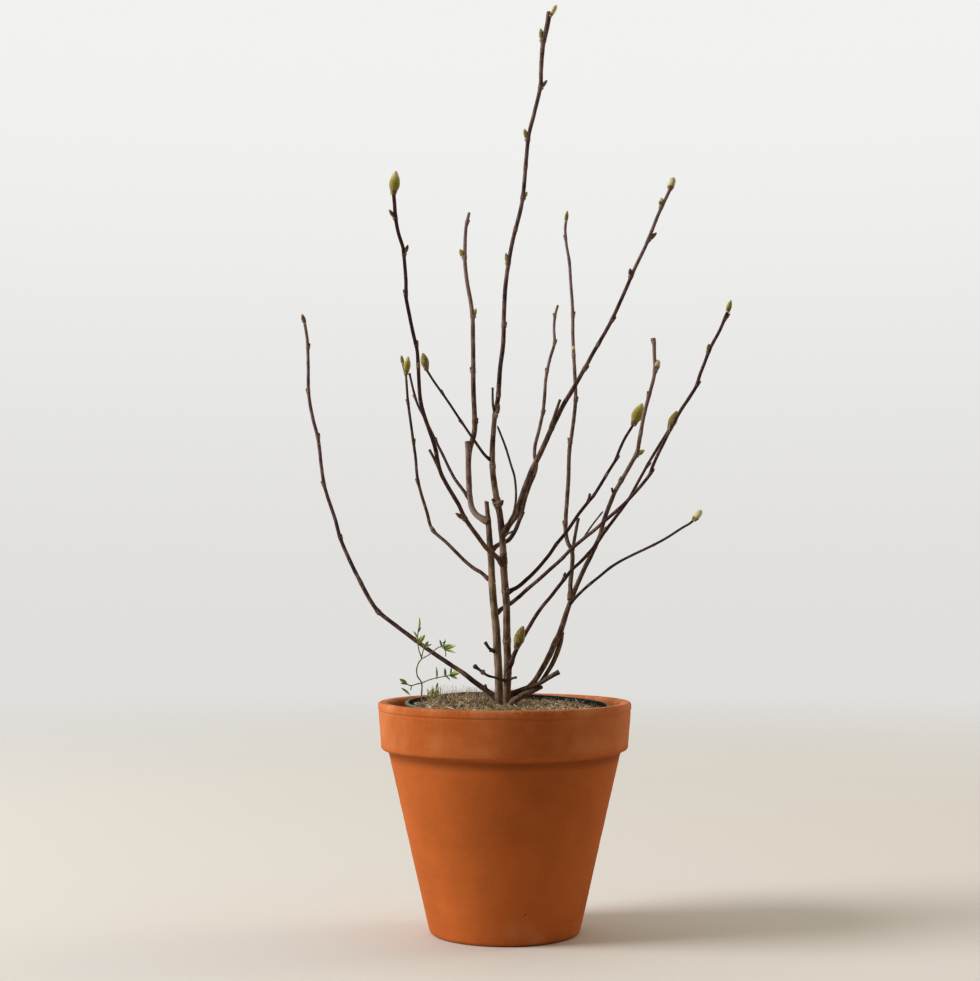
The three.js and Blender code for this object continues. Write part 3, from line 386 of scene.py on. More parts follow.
# ---- the shoots
# on: the stem that carries it. Spread evenly from foot to tip: radii in mm; wood, 1 for old
# grey-brown bark and 0 for young skin; pale, bleached; olive, smooth and greenish; dead, crusted.
# end: what the tip is. A row is a height in the front view. rings: rows where a bud scale left
# its scar. burls: rough swellings as (row, bulge, width). nubs: small side buds as
# (row, turn, length, radius), turned to the right at 0 and to the viewer at -90.
shoots = {
    "leader_stem": {
        "wood": (0.9, 0.7, 0.4, 0.3, 0.2), "pale": (0.1, 0.55), "end": "blunt",
        "rings": [384.6, 34], "olive": (0.45, 0.2),
        "burls": [(503.5, 0.62, 4.2), (560, 0.2, 7), (674, 0.12, 6)], "nubs": [(325.7, 0, 4, 1.7),
            (590, -60, 3.5, 1.6), (640, -110, 3.5, 1.7), (394, -75, 2.6, 1.2),
            (228, -70, 2.6, 1.2), (166, -100, 2.4, 1.1), (466, -60, 3, 1.4)],
        "radii": [4.5, 4.1, 3.8, 3.3, 2.6, 2.4, 2.3, 2.2, 2.2, 3],
        "route": [(507.3, 722, 0), (507, 690, 0), (507.7, 664, 0), (506.8, 636, 0),
            (506.4, 604, 0), (504, 572, 0), (502.5, 540, 0), (499.8, 515, 0), (497, 501, 0),
            (493.3, 477, 1), (492.3, 457, 2), (493.3, 433, 3), (495.4, 412, 4), (498, 398, 5),
            (500, 370, 6), (503.3, 341.5, 7), (504, 312, 8), (506, 281, 8), (512.2, 243, 8),
            (521.8, 203.5, 7), (526.4, 157.5, 5), (528.6, 136, 5), (534.4, 112.6, 4),
            (540.6, 85, 4), (541, 70, 4), (543.5, 41, 4), (546.8, 28, 4), (549.2, 13, 4)],
        "stubs": [
            {"radii": [1.5, 1.2], "route": [(494.8, 413, 3), (492.9, 404, -2), (492.6, 388, -4)]},
            {"radii": [1.5, 1.3, 1.2], "route": [(507, 681, 0), (512, 678.4, -4),
                (516.3, 677.4, -6)]},
            {"radii": [1.9, 1.3], "route": [(497.5, 503, 0), (494, 501, -3), (492.4, 499.5, -4)]},
            {"radii": [2, 1.3], "route": [(498, 506, 0), (501.5, 504, -2), (502.4, 500.6, -3)]},
            {"radii": [1.5, 1], "route": [(503, 535, 0), (508.5, 533.4, -6), (513.3, 531, -9)]},
        ],
    },
    "pruned_stem": {
        "on": "leader_stem", "wood": (1.1, 0.8), "pale": (0.4, 0.15), "olive": (1, 1, 0.7, 0),
        "end": "slanted",
        "burls": [(521, 0.16, 5), (581, 0.14, 5)],
        "radii": [4.6, 4.6, 4.4, 4.2, 3.8, 3.4, 2.3],
        "route": [(498.5, 722, 9), (499, 692, 9), (498.6, 672, 9), (497.2, 648, 9),
            (496.2, 630, 8), (494.2, 609, 8), (492.3, 588, 8), (491.3, 564, 9), (489.6, 540, 9),
            (488, 518, 10), (486.5, 501.5, 10)],
        "stubs": [
            {"wood": (0.6, 0.4, 1), "burls": [(650, 0.7, 1.6)], "radii": [1.6, 1.5, 1.7],
                "route": [(496, 653, 8), (489.5, 648.5, 3), (485.3, 642.6, 2)]},
        ],
    },
    "left_upright_shoot": {
        "on": "pruned_stem", "wood": (0.8, 0.35), "pale": (1.1, 0.4, 0.35, 0.5, 0.7, 0.8),
        "olive": (0.2, 0.6, 0.1, 0, 0, 0), "end": "round",
        "nubs": [(371, 180, 5, 1.8), (421, 0, 4.5, 1.7), (222, 0, 4, 1.5)],
        "radii": [3.4, 3.2, 3.1, 2.8, 2.6, 2.5, 2.3, 2.2, 1.8],
        "route": [(488.5, 522, 10), (482, 518.5, 12), (476, 514.3, 16), (472, 508, 20),
            (470, 498, 25), (468.8, 480, 31), (468.4, 462, 36), (469.8, 449, 40), (474.4, 432, 45),
            (474.3, 410, 51), (473.4, 390, 57), (473.2, 356, 67), (472.9, 334, 74),
            (472.6, 318, 79), (470.7, 302.5, 84), (466.6, 279, 92), (465, 262, 98),
            (465, 245, 104), (466.2, 226, 110), (469, 213.5, 114)],
        "stubs": [
            {"wood": (0.8, 0.5), "pale": (0.7, 0.9), "olive": (0.4, 0.9), "dead": (0, 0, 0, 0.15),
                "radii": [2.6, 2.8, 2.7], "route": [(468.5, 465, 35), (468.2, 452, 38),
                (467.3, 441.6, 39)]},
        ],
    },
    "inner_left_twig": {
        "on": "left_upright_shoot", "wood": (0, 0), "pale": (-0.4, -0.4), "end": "knob",
        "nubs": [(397, 180, 4.5, 1.5), (440, 0, 3.5, 1.3)],
        "radii": [1.9, 1.7, 1.5, 1.4, 1.3],
        "route": [(470, 500, 25), (464.5, 492, 29), (454.6, 478.5, 39), (449, 468, 46),
            (443.8, 457, 53), (437.5, 444.5, 61), (431.3, 431.5, 69), (424, 417, 79),
            (417.5, 404, 86), (413.3, 390, 92), (409.8, 375, 98)],
    },
    "lower_left_twig": {
        "on": "pruned_stem", "wood": (0.5, 0.4), "pale": (0, 0.15), "rings": [529],
        "burls": [(529, 0.22, 3)], "nubs": [(402, 180, 4, 1.4), (441.8, 0, 4.5, 1.5),
            (480.8, 180, 4.5, 1.6), (531, 180, 3, 1.6)],
        "radii": [2.2, 1.9, 1.8, 1.7, 1.6, 1.5, 1.3],
        "route": [(492, 581, 8), (486, 577, 10), (481.8, 573, 12), (473.4, 568, 16),
            (465, 561, 20), (445.8, 542, 32), (435.4, 533, 37), (430.8, 526.5, 40),
            (426.9, 512.2, 43), (421.3, 494, 48), (417.6, 479, 52), (415.5, 457.5, 58),
            (412.8, 437.7, 62), (409.8, 416, 66), (407.6, 398, 69), (406.7, 385, 71),
            (405.9, 374, 72)],
        "stubs": [
            {"radii": [1.2, 1.1], "route": [(405.9, 376, 72), (403.6, 368, 75),
                (402.9, 363.5, 76)]},
        ],
    },
    "left_branch": {
        "on": "leader_stem", "wood": (1, 0.3, 0, 0), "pale": (0.1, -0.3, -0.2),
        "rings": [452, 400],
        "nubs": [(293, 180, 4.5, 1.6), (343.7, 0, 4.5, 1.7), (366, -80, 4, 1.6)],
        "radii": [2.8, 2.3, 2.2, 2.1, 1.9, 1.9, 1.8, 1.9],
        "route": [(503.5, 566, 0), (500, 560.5, -5), (493.3, 554, -10), (486.9, 548.5, -13),
            (478.2, 537, -20), (465.4, 519, -28), (458.5, 504.5, -36), (447, 485, -46),
            (440.5, 472, -52), (437.2, 458, -58), (435.7, 450, -61), (432, 437.6, -66),
            (424.7, 416.9, -74), (420.4, 400, -80), (418.6, 374, -90), (417, 350, -100),
            (413.3, 334, -107), (408.6, 311, -116), (406.2, 298, -121), (405.9, 280, -128),
            (404.5, 262, -135), (403, 248, -140), (398.4, 233, -146), (395.5, 217, -152),
            (394.4, 202, -157), (393.6, 194, -160)],
        "stubs": [
            {"radii": [1.6, 1.4], "route": [(439.6, 470, -53), (436.2, 462.5, -56),
                (429.5, 450, -58)]},
        ],
    },
    "crossing_twig": {
        "on": "leader_stem", "wood": (0.25, 0.2), "pale": (-0.2, -0.2),
        "nubs": [(421, 180, 3.5, 1.3), (392, 0, 3.5, 1.3)],
        "radii": [1.7, 1.4, 1.3, 1.2],
        "route": [(492.3, 461, 2), (486, 456.3, 0), (474, 440, -5), (461.3, 421.5, -9),
            (447, 400, -13), (433.6, 381, -16), (430, 375.3, -17), (426.6, 370, -18)],
    },
    "right_branch": {
        "on": "leader_stem", "wood": (0.85, 0.5, 0.15), "pale": (0.2, 0.05, 0.7),
        "rings": [428, 470],
        "nubs": [(318.4, 0, 4.5, 1.7), (368, 0, 4.5, 1.8), (344, -100, 4, 1.6)],
        "radii": [3.4, 3.1, 2.8, 2.4, 2, 1.9, 1.8, 1.8],
        "route": [(502.8, 535, 0), (506.7, 528, -1), (512, 521, -2), (516.7, 514.5, -4),
            (520.6, 500.5, -7), (525.6, 486, -11), (531.8, 470.6, -16), (540, 454, -22),
            (546.7, 439.4, -27), (551.8, 428, -30), (557.2, 417, -34), (563.2, 405.3, -38),
            (574, 387.3, -45), (586.6, 365, -54), (593, 353.2, -58), (600.5, 340.4, -64),
            (611.3, 321, -72), (626, 288.7, -85), (635.5, 266.8, -94), (646, 245.2, -104),
            (654.9, 223, -114), (660, 210.5, -120), (670.2, 189.2, -130)],
        "stubs": [
            {"radii": [2, 1.4], "route": [(550.5, 428, -31), (554, 417.5, -38), (556.8, 409, -41),
                (560, 400, -43)]},
        ],
    },
    "right_inner_shoot": {
        "on": "pruned_stem", "wood": (0.55, 0.5), "pale": (0.3, 0.7), "end": "round",
        "nubs": [(316, 180, 4.5, 1.5), (342, 0, 4.5, 1.6), (371, 180, 4.5, 1.6), (412, 0, 4, 1.5)],
        "radii": [2.6, 2.3, 2.1, 2, 1.9, 1.8, 1.7, 1.5],
        "route": [(490.5, 552, 9), (493, 549, 12), (497, 545.6, 16), (502, 543, 18),
            (507.8, 540.6, 19), (513.3, 534, 18), (517.6, 525, 17), (521.2, 514.5, 17),
            (524.5, 501, 19), (529.3, 486.4, 23), (535.2, 472.2, 28), (536.3, 464, 31),
            (534.6, 456, 34), (535, 446.5, 38), (538.9, 430.6, 47), (542.9, 412, 58),
            (544.7, 395, 70), (545.6, 381, 79), (547.6, 369.2, 86), (550.3, 357.7, 95),
            (554.4, 343, 104), (554, 329, 112), (555, 316, 119), (557.6, 306, 124)],
        "stubs": [
            {"radii": [1.6, 1.2], "route": [(518.5, 522, 17), (521.8, 516.5, 13),
                (523.7, 512.2, 11)]},
        ],
    },
    "arched_twig": {
        "on": "right_branch", "wood": (0.6, 0.8), "pale": (0, -0.2), "dead": (0.2, 0.7, 0.9),
        "end": "dry",
        "radii": [1.6, 1.3, 1.2, 1.2, 1.1],
        "route": [(507, 528, -3), (509.5, 521, -9), (513.3, 514, -14), (515.6, 502.5, -19),
            (515.9, 490, -26), (514.4, 476, -33), (511.3, 466, -39), (505.6, 447.2, -50),
            (498.1, 427.8, -60)],
    },
    "middle_right_branch": {
        "on": "leader_stem", "wood": (0.2, 0.15), "pale": (0, 0), "rings": [543.8, 495],
        "nubs": [(457.5, 0, 4.5, 1.6), (475, -90, 3.5, 1.4)],
        "radii": [2.3, 2, 1.9, 1.8, 1.7, 1.5],
        "route": [(505.5, 594, 0), (511.3, 590.4, 2), (517.7, 587, 4), (526.8, 579.3, 7),
            (535.6, 570.8, 11), (548.8, 555.3, 17), (556.3, 544.3, 21), (566, 532.5, 26),
            (579, 513.6, 32), (587.4, 503, 36), (593.8, 495.3, 39), (600.4, 485, 43),
            (608.4, 471.6, 48), (616, 459.3, 52), (618.6, 452, 55), (625.2, 437.7, 60),
            (631.4, 427.8, 63), (633.4, 424.3, 64)],
        "stubs": [
            {"radii": [1.5, 1.3], "route": [(587, 503.5, 36), (588.9, 498, 34), (589.9, 494, 33)]},
        ],
    },
    "long_right_branch": {
        "on": "pruned_stem", "wood": (0.55, 0.15), "pale": (0, 0.2), "rings": [557, 509],
        "nubs": [(317.5, 0, 6.5, 2), (384, 0, 4.5, 1.6), (471.4, 0, 4.5, 1.7), (427, 180, 4, 1.5)],
        "radii": [2.4, 2, 1.9, 1.8, 1.7, 1.8, 1.7, 1.6],
        "route": [(493.8, 616, 8), (498.2, 611.8, 12), (503, 608, 15), (510, 603.8, 14),
            (518.4, 597.3, 7), (527.5, 589, -1), (538.5, 579.8, -11), (549.3, 570, -20),
            (561, 559.6, -28), (571.3, 549, -36), (583.8, 538.5, -45), (593.8, 530.6, -51),
            (606.3, 519.5, -59), (618.3, 509.4, -66), (628, 500, -70), (641.8, 484.7, -79),
            (650, 474, -84), (652.5, 466.8, -87), (657.8, 454.6, -92), (663.6, 442.7, -97),
            (671.4, 427.4, -104), (680, 411.6, -111), (689.3, 397.6, -119), (696.4, 385.9, -125),
            (699.8, 375.2, -131), (705.2, 361.2, -139), (709.9, 349, -145), (720, 329.8, -155),
            (727.9, 311, -163)],
        "stubs": [
            {"radii": [1, 0.9], "route": [(583.8, 538, -45), (591.3, 526.3, -47),
                (602, 512.6, -50)]},
        ],
    },
    "low_right_branch": {
        "on": "leader_stem", "wood": (0.4, 0.2), "pale": (0, 0.05), "rings": [587.5, 511],
        "nubs": [(553.8, 0, 4, 1.6), (464.3, 0, 4.5, 1.6), (530, 180, 3.5, 1.4)],
        "radii": [2.7, 2, 1.8, 1.8, 1.6, 1.6],
        "route": [(507, 671, 0), (511, 662.5, -2), (515, 652.5, -4), (520, 642.5, -4),
            (525, 634, -4), (530.4, 624.8, -4), (535.5, 616.3, -3), (542.4, 606.5, -3),
            (551, 596.3, -2), (557.4, 588, 0), (565, 578.3, 2), (572.5, 569.2, 3),
            (580.5, 561.9, 5), (588.6, 553.4, 7), (597.5, 542.5, 9), (605, 531.3, 11),
            (612.5, 521.3, 13), (620, 511.2, 14), (628.3, 500, 17), (637, 484, 21),
            (647.8, 464.5, 25), (656.5, 449.8, 28), (663.4, 438.7, 31), (669.3, 429, 32)],
    },
    "right_stem": {
        "on": "leader_stem", "wood": (0.85, 0.3), "pale": (0.05, 0.8), "end": "cut",
        "rings": [412, 546],
        "nubs": [(341, 180, 4, 1.6), (394, 180, 4, 1.5), (433, -90, 4, 1.5), (480, 180, 3.5, 1.5)],
        "radii": [3, 2.8, 3.6, 2.7, 2.6, 2.5, 2.4, 2.3, 2.1, 2, 2.1],
        "route": [(507, 696.5, 2), (511.5, 693.8, 4), (520.5, 690.4, 4), (528.5, 687.3, 3),
            (533, 683, 3), (537, 677.4, 4), (543.5, 666.7, 9), (550.6, 652.9, 17),
            (555, 642.6, 23), (559.2, 635, 29), (563, 624, 36), (566.8, 611.5, 43),
            (570.6, 601, 47), (574, 592.5, 50), (579.2, 580, 51), (585, 567.2, 50),
            (590.3, 557, 49), (595.2, 546.3, 49), (600.3, 535, 48), (602.9, 524, 47),
            (606.7, 512.3, 46), (611.2, 500.8, 44), (615.5, 490.7, 42), (621.7, 480, 39),
            (627.6, 469.8, 36), (632.3, 461.5, 35), (637.2, 452, 33), (638.9, 443, 32),
            (641.2, 430, 30), (644.4, 413, 28), (649.3, 394.5, 26), (653.8, 377.6, 23),
            (655, 368, 22), (654.3, 355.7, 20), (654, 343, 18), (653.4, 338.3, 18)],
        "stubs": [
            {"dead": (0.1, 0.5, 1), "radii": [2.2, 2.3, 2.4, 2.6], "route": [(524, 689.4, 3),
                (540, 683, -2), (550, 676.8, -5), (558.8, 672, -7)]},
            {"wood": (0.7, 0.65), "pale": (0.45, 0.5), "dead": (0, 0, 0.4),
                "radii": [3.7, 3.7, 3.5, 3, 1.7], "route": [(506.5, 707, 1), (513, 701.5, -3),
                (522, 695.8, -4), (533, 690.8, 0), (541.8, 687, 3)]},
            {"radii": [1.4, 1.2], "route": [(613.9, 493.5, 43), (612.4, 490.5, 40),
                (612, 488.3, 39)]},
        ],
    },
    "right_twin_stem": {
        "on": "right_stem", "wood": (0.85, 0.9), "pale": (0.1, 0.2), "end": "cut",
        "radii": [2.2, 2.4, 2.6, 2.8, 2.7],
        "route": [(537.5, 685.6, 2), (541.8, 680.6, 5), (546, 674.5, 9), (552.2, 664, 15),
            (557.2, 652.3, 21), (560.3, 642.5, 26), (561.8, 633, 32)],
    },
    "back_upright_shoot": {
        "on": "right_stem", "wood": (0.75, 0.35), "pale": (0.35, 0.75), "rings": [261, 449],
        "nubs": [(315, 0, 4.5, 1.6), (400, 0, 4.5, 1.6), (441.7, 180, 6, 1.5),
            (523.3, 180, 4.5, 1.7), (237, 180, 3.5, 1.3)],
        "radii": [2.6, 2.4, 2.3, 2.2, 2.1, 2, 1.8, 1.6],
        "route": [(570.2, 600, 47), (570.5, 584, 54), (571.9, 568, 59), (572.4, 554, 64),
            (571, 548.5, 66), (568, 543, 69), (565.7, 532, 73), (565.8, 517, 78), (567, 501, 84),
            (568.4, 478, 92), (569.5, 449, 102), (572.4, 430, 108), (574.4, 413, 113),
            (575.6, 397, 118), (574.7, 373, 126), (573, 341, 135), (572.6, 310, 143),
            (570.5, 279.5, 151), (569.2, 261, 156), (566.3, 244, 160), (565.2, 229, 162),
            (566, 220.5, 163)],
        "stubs": [
            {"radii": [1.9, 1.7], "route": [(572.2, 553, 65), (575, 536, 66), (578.2, 518.7, 67)]},
        ],
    },
    "reaching_twig": {
        "on": "right_stem", "wood": (0.05, 0.2), "pale": (-0.3, -0.3), "rings": [567.8],
        "nubs": [(584, -90, 3.5, 1.4), (545, 60, 3.5, 1.3)],
        "radii": [1.7, 1.5, 1.4, 1.3, 1.2],
        "route": [(569.5, 604, 45), (573.6, 599.6, 44), (579, 594, 41), (588.8, 585, 34),
            (598.8, 577, 26), (610, 567.8, 15), (622, 560.3, 2), (638.8, 552, -20),
            (656, 543.7, -45), (667.7, 537.2, -65), (680.8, 528.7, -88), (690.3, 523, -104),
            (694, 519.8, -109)],
    },
    "sweeping_stem": {
        "on": "pruned_stem", "wood": (0.55, 0.15), "pale": (0, 0.6), "rings": [610, 582],
        "nubs": [(347, 0, 4.5, 1.7), (391.5, 180, 4, 1.6), (436, 0, 4.5, 1.7),
            (484, 180, 4.5, 1.7), (538, 0, 4, 1.7), (612, 180, 3.5, 1.6), (640, 90, 3.5, 1.6)],
        "radii": [3.1, 2.5, 2.3, 2.4, 2.1, 2, 2, 1.9, 1.8],
        "route": [(499, 702, 10), (494, 696, 12), (483.8, 688.6, 15), (472.5, 680.3, 19),
            (463, 672.8, 24), (453.5, 666.6, 28), (439.8, 657.4, 35), (425.6, 647.7, 42),
            (412, 637.6, 49), (393, 623.3, 58), (379.3, 612.4, 65), (371.3, 602, 69),
            (360.6, 582.2, 75), (349.7, 560.3, 81), (340, 537.3, 87), (335.4, 520, 91),
            (328, 498, 96), (324.2, 485, 98), (321.3, 465.8, 102), (318.3, 440, 106),
            (312.3, 416, 110), (308.6, 393, 113), (308.2, 366, 116), (307.4, 341.5, 119),
            (304.7, 323, 120)],
        "stubs": [
            {"radii": [1.8, 1.3], "route": [(487, 690.5, 14), (485.8, 687.5, 11),
                (485.3, 685, 10)]},
        ],
    },
    "basal_spur": {
        "on": "leader_stem", "wood": (0.8, 0.5, 0.4, 0.8), "pale": (0, 0, 0, 0.6, 0),
        "dead": (0.1, 0.1, 0.1, 0.2, 1), "end": "knob",
        "burls": [(672.2, 0.95, 2.1), (679.5, 0.3, 1.6)],
        "radii": [2, 1.6, 1.35, 1.3, 1.3, 1.4, 1.4, 1.35, 2.1],
        "route": [(506.5, 681, 0), (502, 679.6, -6), (496, 677.8, -11), (487.5, 675.4, -14),
            (481.3, 671.2, -16), (476.2, 667.4, -18)],
    },
}
stemGroups = {
    "leaderStem": ["leader_stem", "arched_twig", "crossing_twig", "basal_spur"],
    "prunedStem": ["pruned_stem", "sweeping_stem"],
    "leftShoots": ["left_upright_shoot", "inner_left_twig", "lower_left_twig", "left_branch"],
    "rightShoots": ["right_branch", "right_inner_shoot", "middle_right_branch",
                    "long_right_branch", "low_right_branch"],
    "rightStems": ["right_stem", "right_twin_stem", "back_upright_shoot", "reaching_twig"],
}
stemLook = {
    "sides": 24, "step": 1.4, "fineStep": 0.34, "nodeSpan": (-4.2, 2.4), "closest": 0.12,
    "swell": 0.2, "shelf": 0.46, "ringHeight": 0.11, "ringLoss": 0.8, "cutSwell": 0.12,
    "flare": 0.34, "flareReach": 1.7, "slope": 0.4, "lumps": 0.07, "ridges": 0.1,
    "lumpScale": 130, "ridgeScale": 45, "knobScale": 330, "knobs": (0.75, 1.3),
    "old": "#7b6352", "oldDark": "#4d3a2b", "moss": "#72683f", "dead": "#4a463c",
    "olive": "#94806a", "oliveDark": "#685743",
    "lichen": "#9a9c8c", "young": "#50302a", "youngDark": "#30191a",
    "bleached": "#937c78", "dry": "#86766b", "scar": "#b0a18c",
    "lenticel": "#bfae9a", "cutWood": "#91887a", "cutRim": "#544a3c",
}


# ---- buds: rows and turns as above, lengths and radii in mm
# A tint is 0 for brown to 1 for olive green, how far the tip has paled, and 1 where that
# pale tip is silky grey instead of straw. A bud without one is brown, more or less.
endBuds = {  # radius, foot, tip, tint
    "flower_bud_left": (5.6, (393.5, 194.5, -160), (395.8, 170.5, -163), (0.85, 0.42)),
    # the crossing and basal flower buds' low, browner tints are partly their own colour and partly
    # painted shade
    "flower_bud_crossing": (4.6, (426.4, 369.8, -18), (422.9, 352.8, -19), (0.42, -0.7)),
    "flower_bud_lower_left": (4.2, (406, 374.2, 72), (408.1, 356.2, 71), (0.75, 0.4)),
    "flower_bud_middle": (6.7, (633.2, 424.8, 64), (642.4, 402.9, 64), (0.85, 0.25)),
    "flower_bud_low": (5, (669.4, 429, 32), (677, 410.7, 32), (0.55, -0.6)),
    "flower_bud_basal": (6, (516.4, 648, -8), (523, 626.3, -14), (0.4, 0.0)),
    "opening_bud_right": (3.8, (669.9, 189.8, -130), (673.4, 177, -132), (0.65, 1.0, 1)),
    "opening_bud_reaching": (3.5, (694, 519.8, -109), (701.2, 510.2, -113), (0.9, 0.95, 1)),
    "leader_top_bud": (3, (550.2, 16, 3), (556.4, 4.6, 2), (0.6, 1.5)),
    "tip_bud_long": (2.6, (727.7, 311.5, -163), (731, 300, -165), (0.5, -0.2)),
    "tip_bud_back": (2.3, (565.9, 221, 163), (567.3, 210.5, 163), (0.42, -0.3)),
    "tip_bud_sweeping": (2.5, (304.7, 323.4, 120), (301.8, 313.5, 120), (0.2, 0.3)),
    "tip_bud_lower_left": (2.1, (402.9, 363.8, 76), (401.2, 355, 77), (0.45, 0.1)),
}
sideBuds = {  # on, row, turn, length, radius, lean, tint
    "opening_bud_stem": ("right_stem", 370, 0, 12, 3.7, 0.06, (0.1, 0.85)),
    "leaf_bud_01": ("leader_stem", 40, 180, 13, 2.8, 0.28, (0.45, 0.25)),
    "leaf_bud_02": ("leader_stem", 87, 0, 10, 2.1, 0.5),
    "leaf_bud_03": ("leader_stem", 139.5, 180, 12, 2.5, 0.32, (0.5, 0.25)),
    "leaf_bud_04": ("leader_stem", 196.5, 0, 7, 1.9, 0.3, (0.6, 0.3)),
    "leaf_bud_05": ("leader_stem", 262, 180, 10.5, 2.2, 0.22, (0.35, 0.3)),
    "leaf_bud_06": ("leader_stem", 414.5, -52, 13, 2.8, 0.2, (0.05, -0.1)),
    "leaf_bud_07": ("left_upright_shoot", 257, 180, 11.5, 3.1, 0.34, (0.5, 0.2)),
    "leaf_bud_08": ("left_upright_shoot", 315.5, 0, 9.5, 2.2, 0.28, (0.6, 0.3)),
    "leaf_bud_09": ("left_branch", 217, 180, 9.5, 2, 0.45, (0.3, 0.2)),
    "leaf_bud_10": ("left_branch", 253, 0, 9, 2, 0.48),
    "leaf_bud_11": ("left_branch", 518, 180, 11, 2.4, 0.42, (0.03, 0.05)),
    "leaf_bud_12": ("right_branch", 206, 180, 9, 2.5, 0.32, (0.15, 0.8)),
    "leaf_bud_13": ("right_branch", 239, 0, 10, 2.2, 0.4),
    "leaf_bud_14": ("right_branch", 276, 180, 8, 2.2, 0.4),
    "leaf_bud_15": ("back_upright_shoot", 355.5, -90, 11, 2.2, 0.12, (0.3, 0.7)),
    "leaf_bud_16": ("right_stem", 454, 0, 9.5, 2.5, 0.52, (0.55, 0.35)),
    "leaf_bud_17": ("long_right_branch", 351, 180, 7.5, 2, 0.2, (0.28, 0.1)),
    "leaf_bud_18": ("low_right_branch", 578, 150, 7, 2, 0.5),
}
budProfiles = {  # along the bud, and the share of its radius there
    "flower": [(0, .42), (.07, .5), (.15, .56), (.21, .68), (.33, .93), (.45, 1), (.6, .93),
               (.74, .74), (.86, .49), (.94, .29), (.985, .13), (1, .02)],
    "opening": [(0, .5), (.07, .62), (.13, .66), (.2, .84), (.33, .97), (.5, 1), (.68, .97),
                (.83, .82), (.94, .5), (1, .03)],
    "leaf": [(0, .66), (.06, .8), (.1, .74), (.16, .9), (.3, 1), (.5, .99), (.68, .84),
             (.83, .58), (.93, .34), (.98, .17), (1, .03)],
    "leader": [(0, .6), (.08, .7), (.14, .72), (.25, .88), (.4, 1), (.6, .98), (.76, .86),
               (.89, .62), (.97, .34), (1, .03)],
    "nub": [(0, .95), (.25, 1), (.5, .84), (.75, .52), (.92, .24), (1, .02)],
}
budLook = {
    "sides": 30, "rows": 30, "rowEase": 0.92, "bend": (0.02, 0.1), "collar": 0.16,
    "seamDepth": 0.1, "seamWidth": 0.13, "seamLip": 0.035, "seamTwist": 0.5,
    "seams": {"opening": (0, 1.9, 4.0)}, "twoSeams": (0, 2.6),  # turns; the first is the deepest
    "husks": ((0.3, 0.27, 1.15), (2.7, 0.22, 1.0), (4.6, 0.17, 0.9)),  # turn, reach, spread
    "huskRows": 9, "huskColumns": 10, "huskLift": 0.55, "huskSink": -0.2,
    "hairLean": (0.12, 0.5), "hairSpread": 0.16, "hairDroop": 0.25,
    "hairTaper": (0.055, 0.045, 0.01),
    "hairs": {"flower": 800, "opening": 420, "leaf": 110, "leader": 90, "nub": 0},
    "hairLength": {"flower": 1.1, "opening": 0.9, "leaf": 0.65, "leader": 0.65, "nub": 0},
    "silk": "#c9c6a4", "sheen": 0.6, "sheenTint": (0.92, 1, 0.84, 1),
    "olive": "#8a7a30", "green": "#98923b", "lightGreen": "#c3c28c", "brown": "#8a705a",
    "darkBrown": "#4a3629", "straw": "#d8c8a0", "grey": "#9a8f7e", "husk": "#6b5430",
    "ring": "#dccfb2", "hair": "#b9ae80",
}


class Shoot:
    def __init__(self, route, radii):
        self.path = Path(route)
        self.radii = np.array(radii) * mm
        self.sites = []

    def radius(self, run):
        return np.interp(run / self.path.length, np.linspace(0, 1, len(self.radii)), self.radii)

    def site(self, row, turn, bud):  # a node of the shoot, with or without its bud
        run = self.path.runAtRow(row)
        heading = self.path.heading(run)
        angle = math.radians(turn)
        out = np.array([math.cos(angle), math.sin(angle), 0])
        out = unit(out - heading * np.dot(out, heading))
        made = {"run": run, "out": out, "heading": heading, "bud": bud}
        self.sites.append(made)
        return made


def runOutOf(path, carrier):  # how far along the path it leaves the stem that carries it
    runs = np.arange(0, min(path.length, 45 * mm), 0.4 * mm)
    spots = path.at(runs)
    gaps = np.linalg.norm(spots[:, None] - carrier.path.points[None], axis=2)
    nearest = gaps.argmin(1)
    inside = gaps.min(1) < carrier.radius(carrier.path.runs[nearest])
    outside = np.nonzero(~inside)[0]
    return runs[outside[0]] if len(outside) and inside[0] else 0.0


# how a stem ends: rows of (height in radii above its last ring, share of that ring's size)
stemEnds = {
    "round": [(0.3, .93), (0.55, .76), (0.75, .5), (0.86, .2)],
    "knob": [(0.4, 1.22), (0.9, 1.3), (1.4, 1.1), (1.75, .7), (1.9, .25)],
    "dry": [(0.8, .7), (1.8, .45), (2.6, .2)],
    "blunt": [(0.25, .94), (0.45, .75), (0.5, .5), (0.48, .2)],
    "cut": [(0.08, .95), (0.13, .82), (0.06, .6), (-0.02, .25)],
}
stemEnds["slanted"] = stemEnds["cut"]


def stemRuns(shoot, burls):  # where its rings lie: closer together at nodes and burls
    look, length = stemLook, shoot.path.length
    runs = [np.arange(0, length, look["step"] * mm), [length]]
    for site in shoot.sites:
        runs.append(site["run"] + np.arange(*look["nodeSpan"], look["fineStep"]) * mm)
    for middle, _, width in burls:
        runs.append(middle + np.arange(-2, 2, 0.1) * width)
    runs = np.unique(np.clip(np.concatenate(runs), 0, length))
    runs = runs[np.concatenate([[True], np.diff(runs) > look["closest"] * mm])]
    return runs if length - runs[-1] <= 1e-6 else np.append(runs, length)


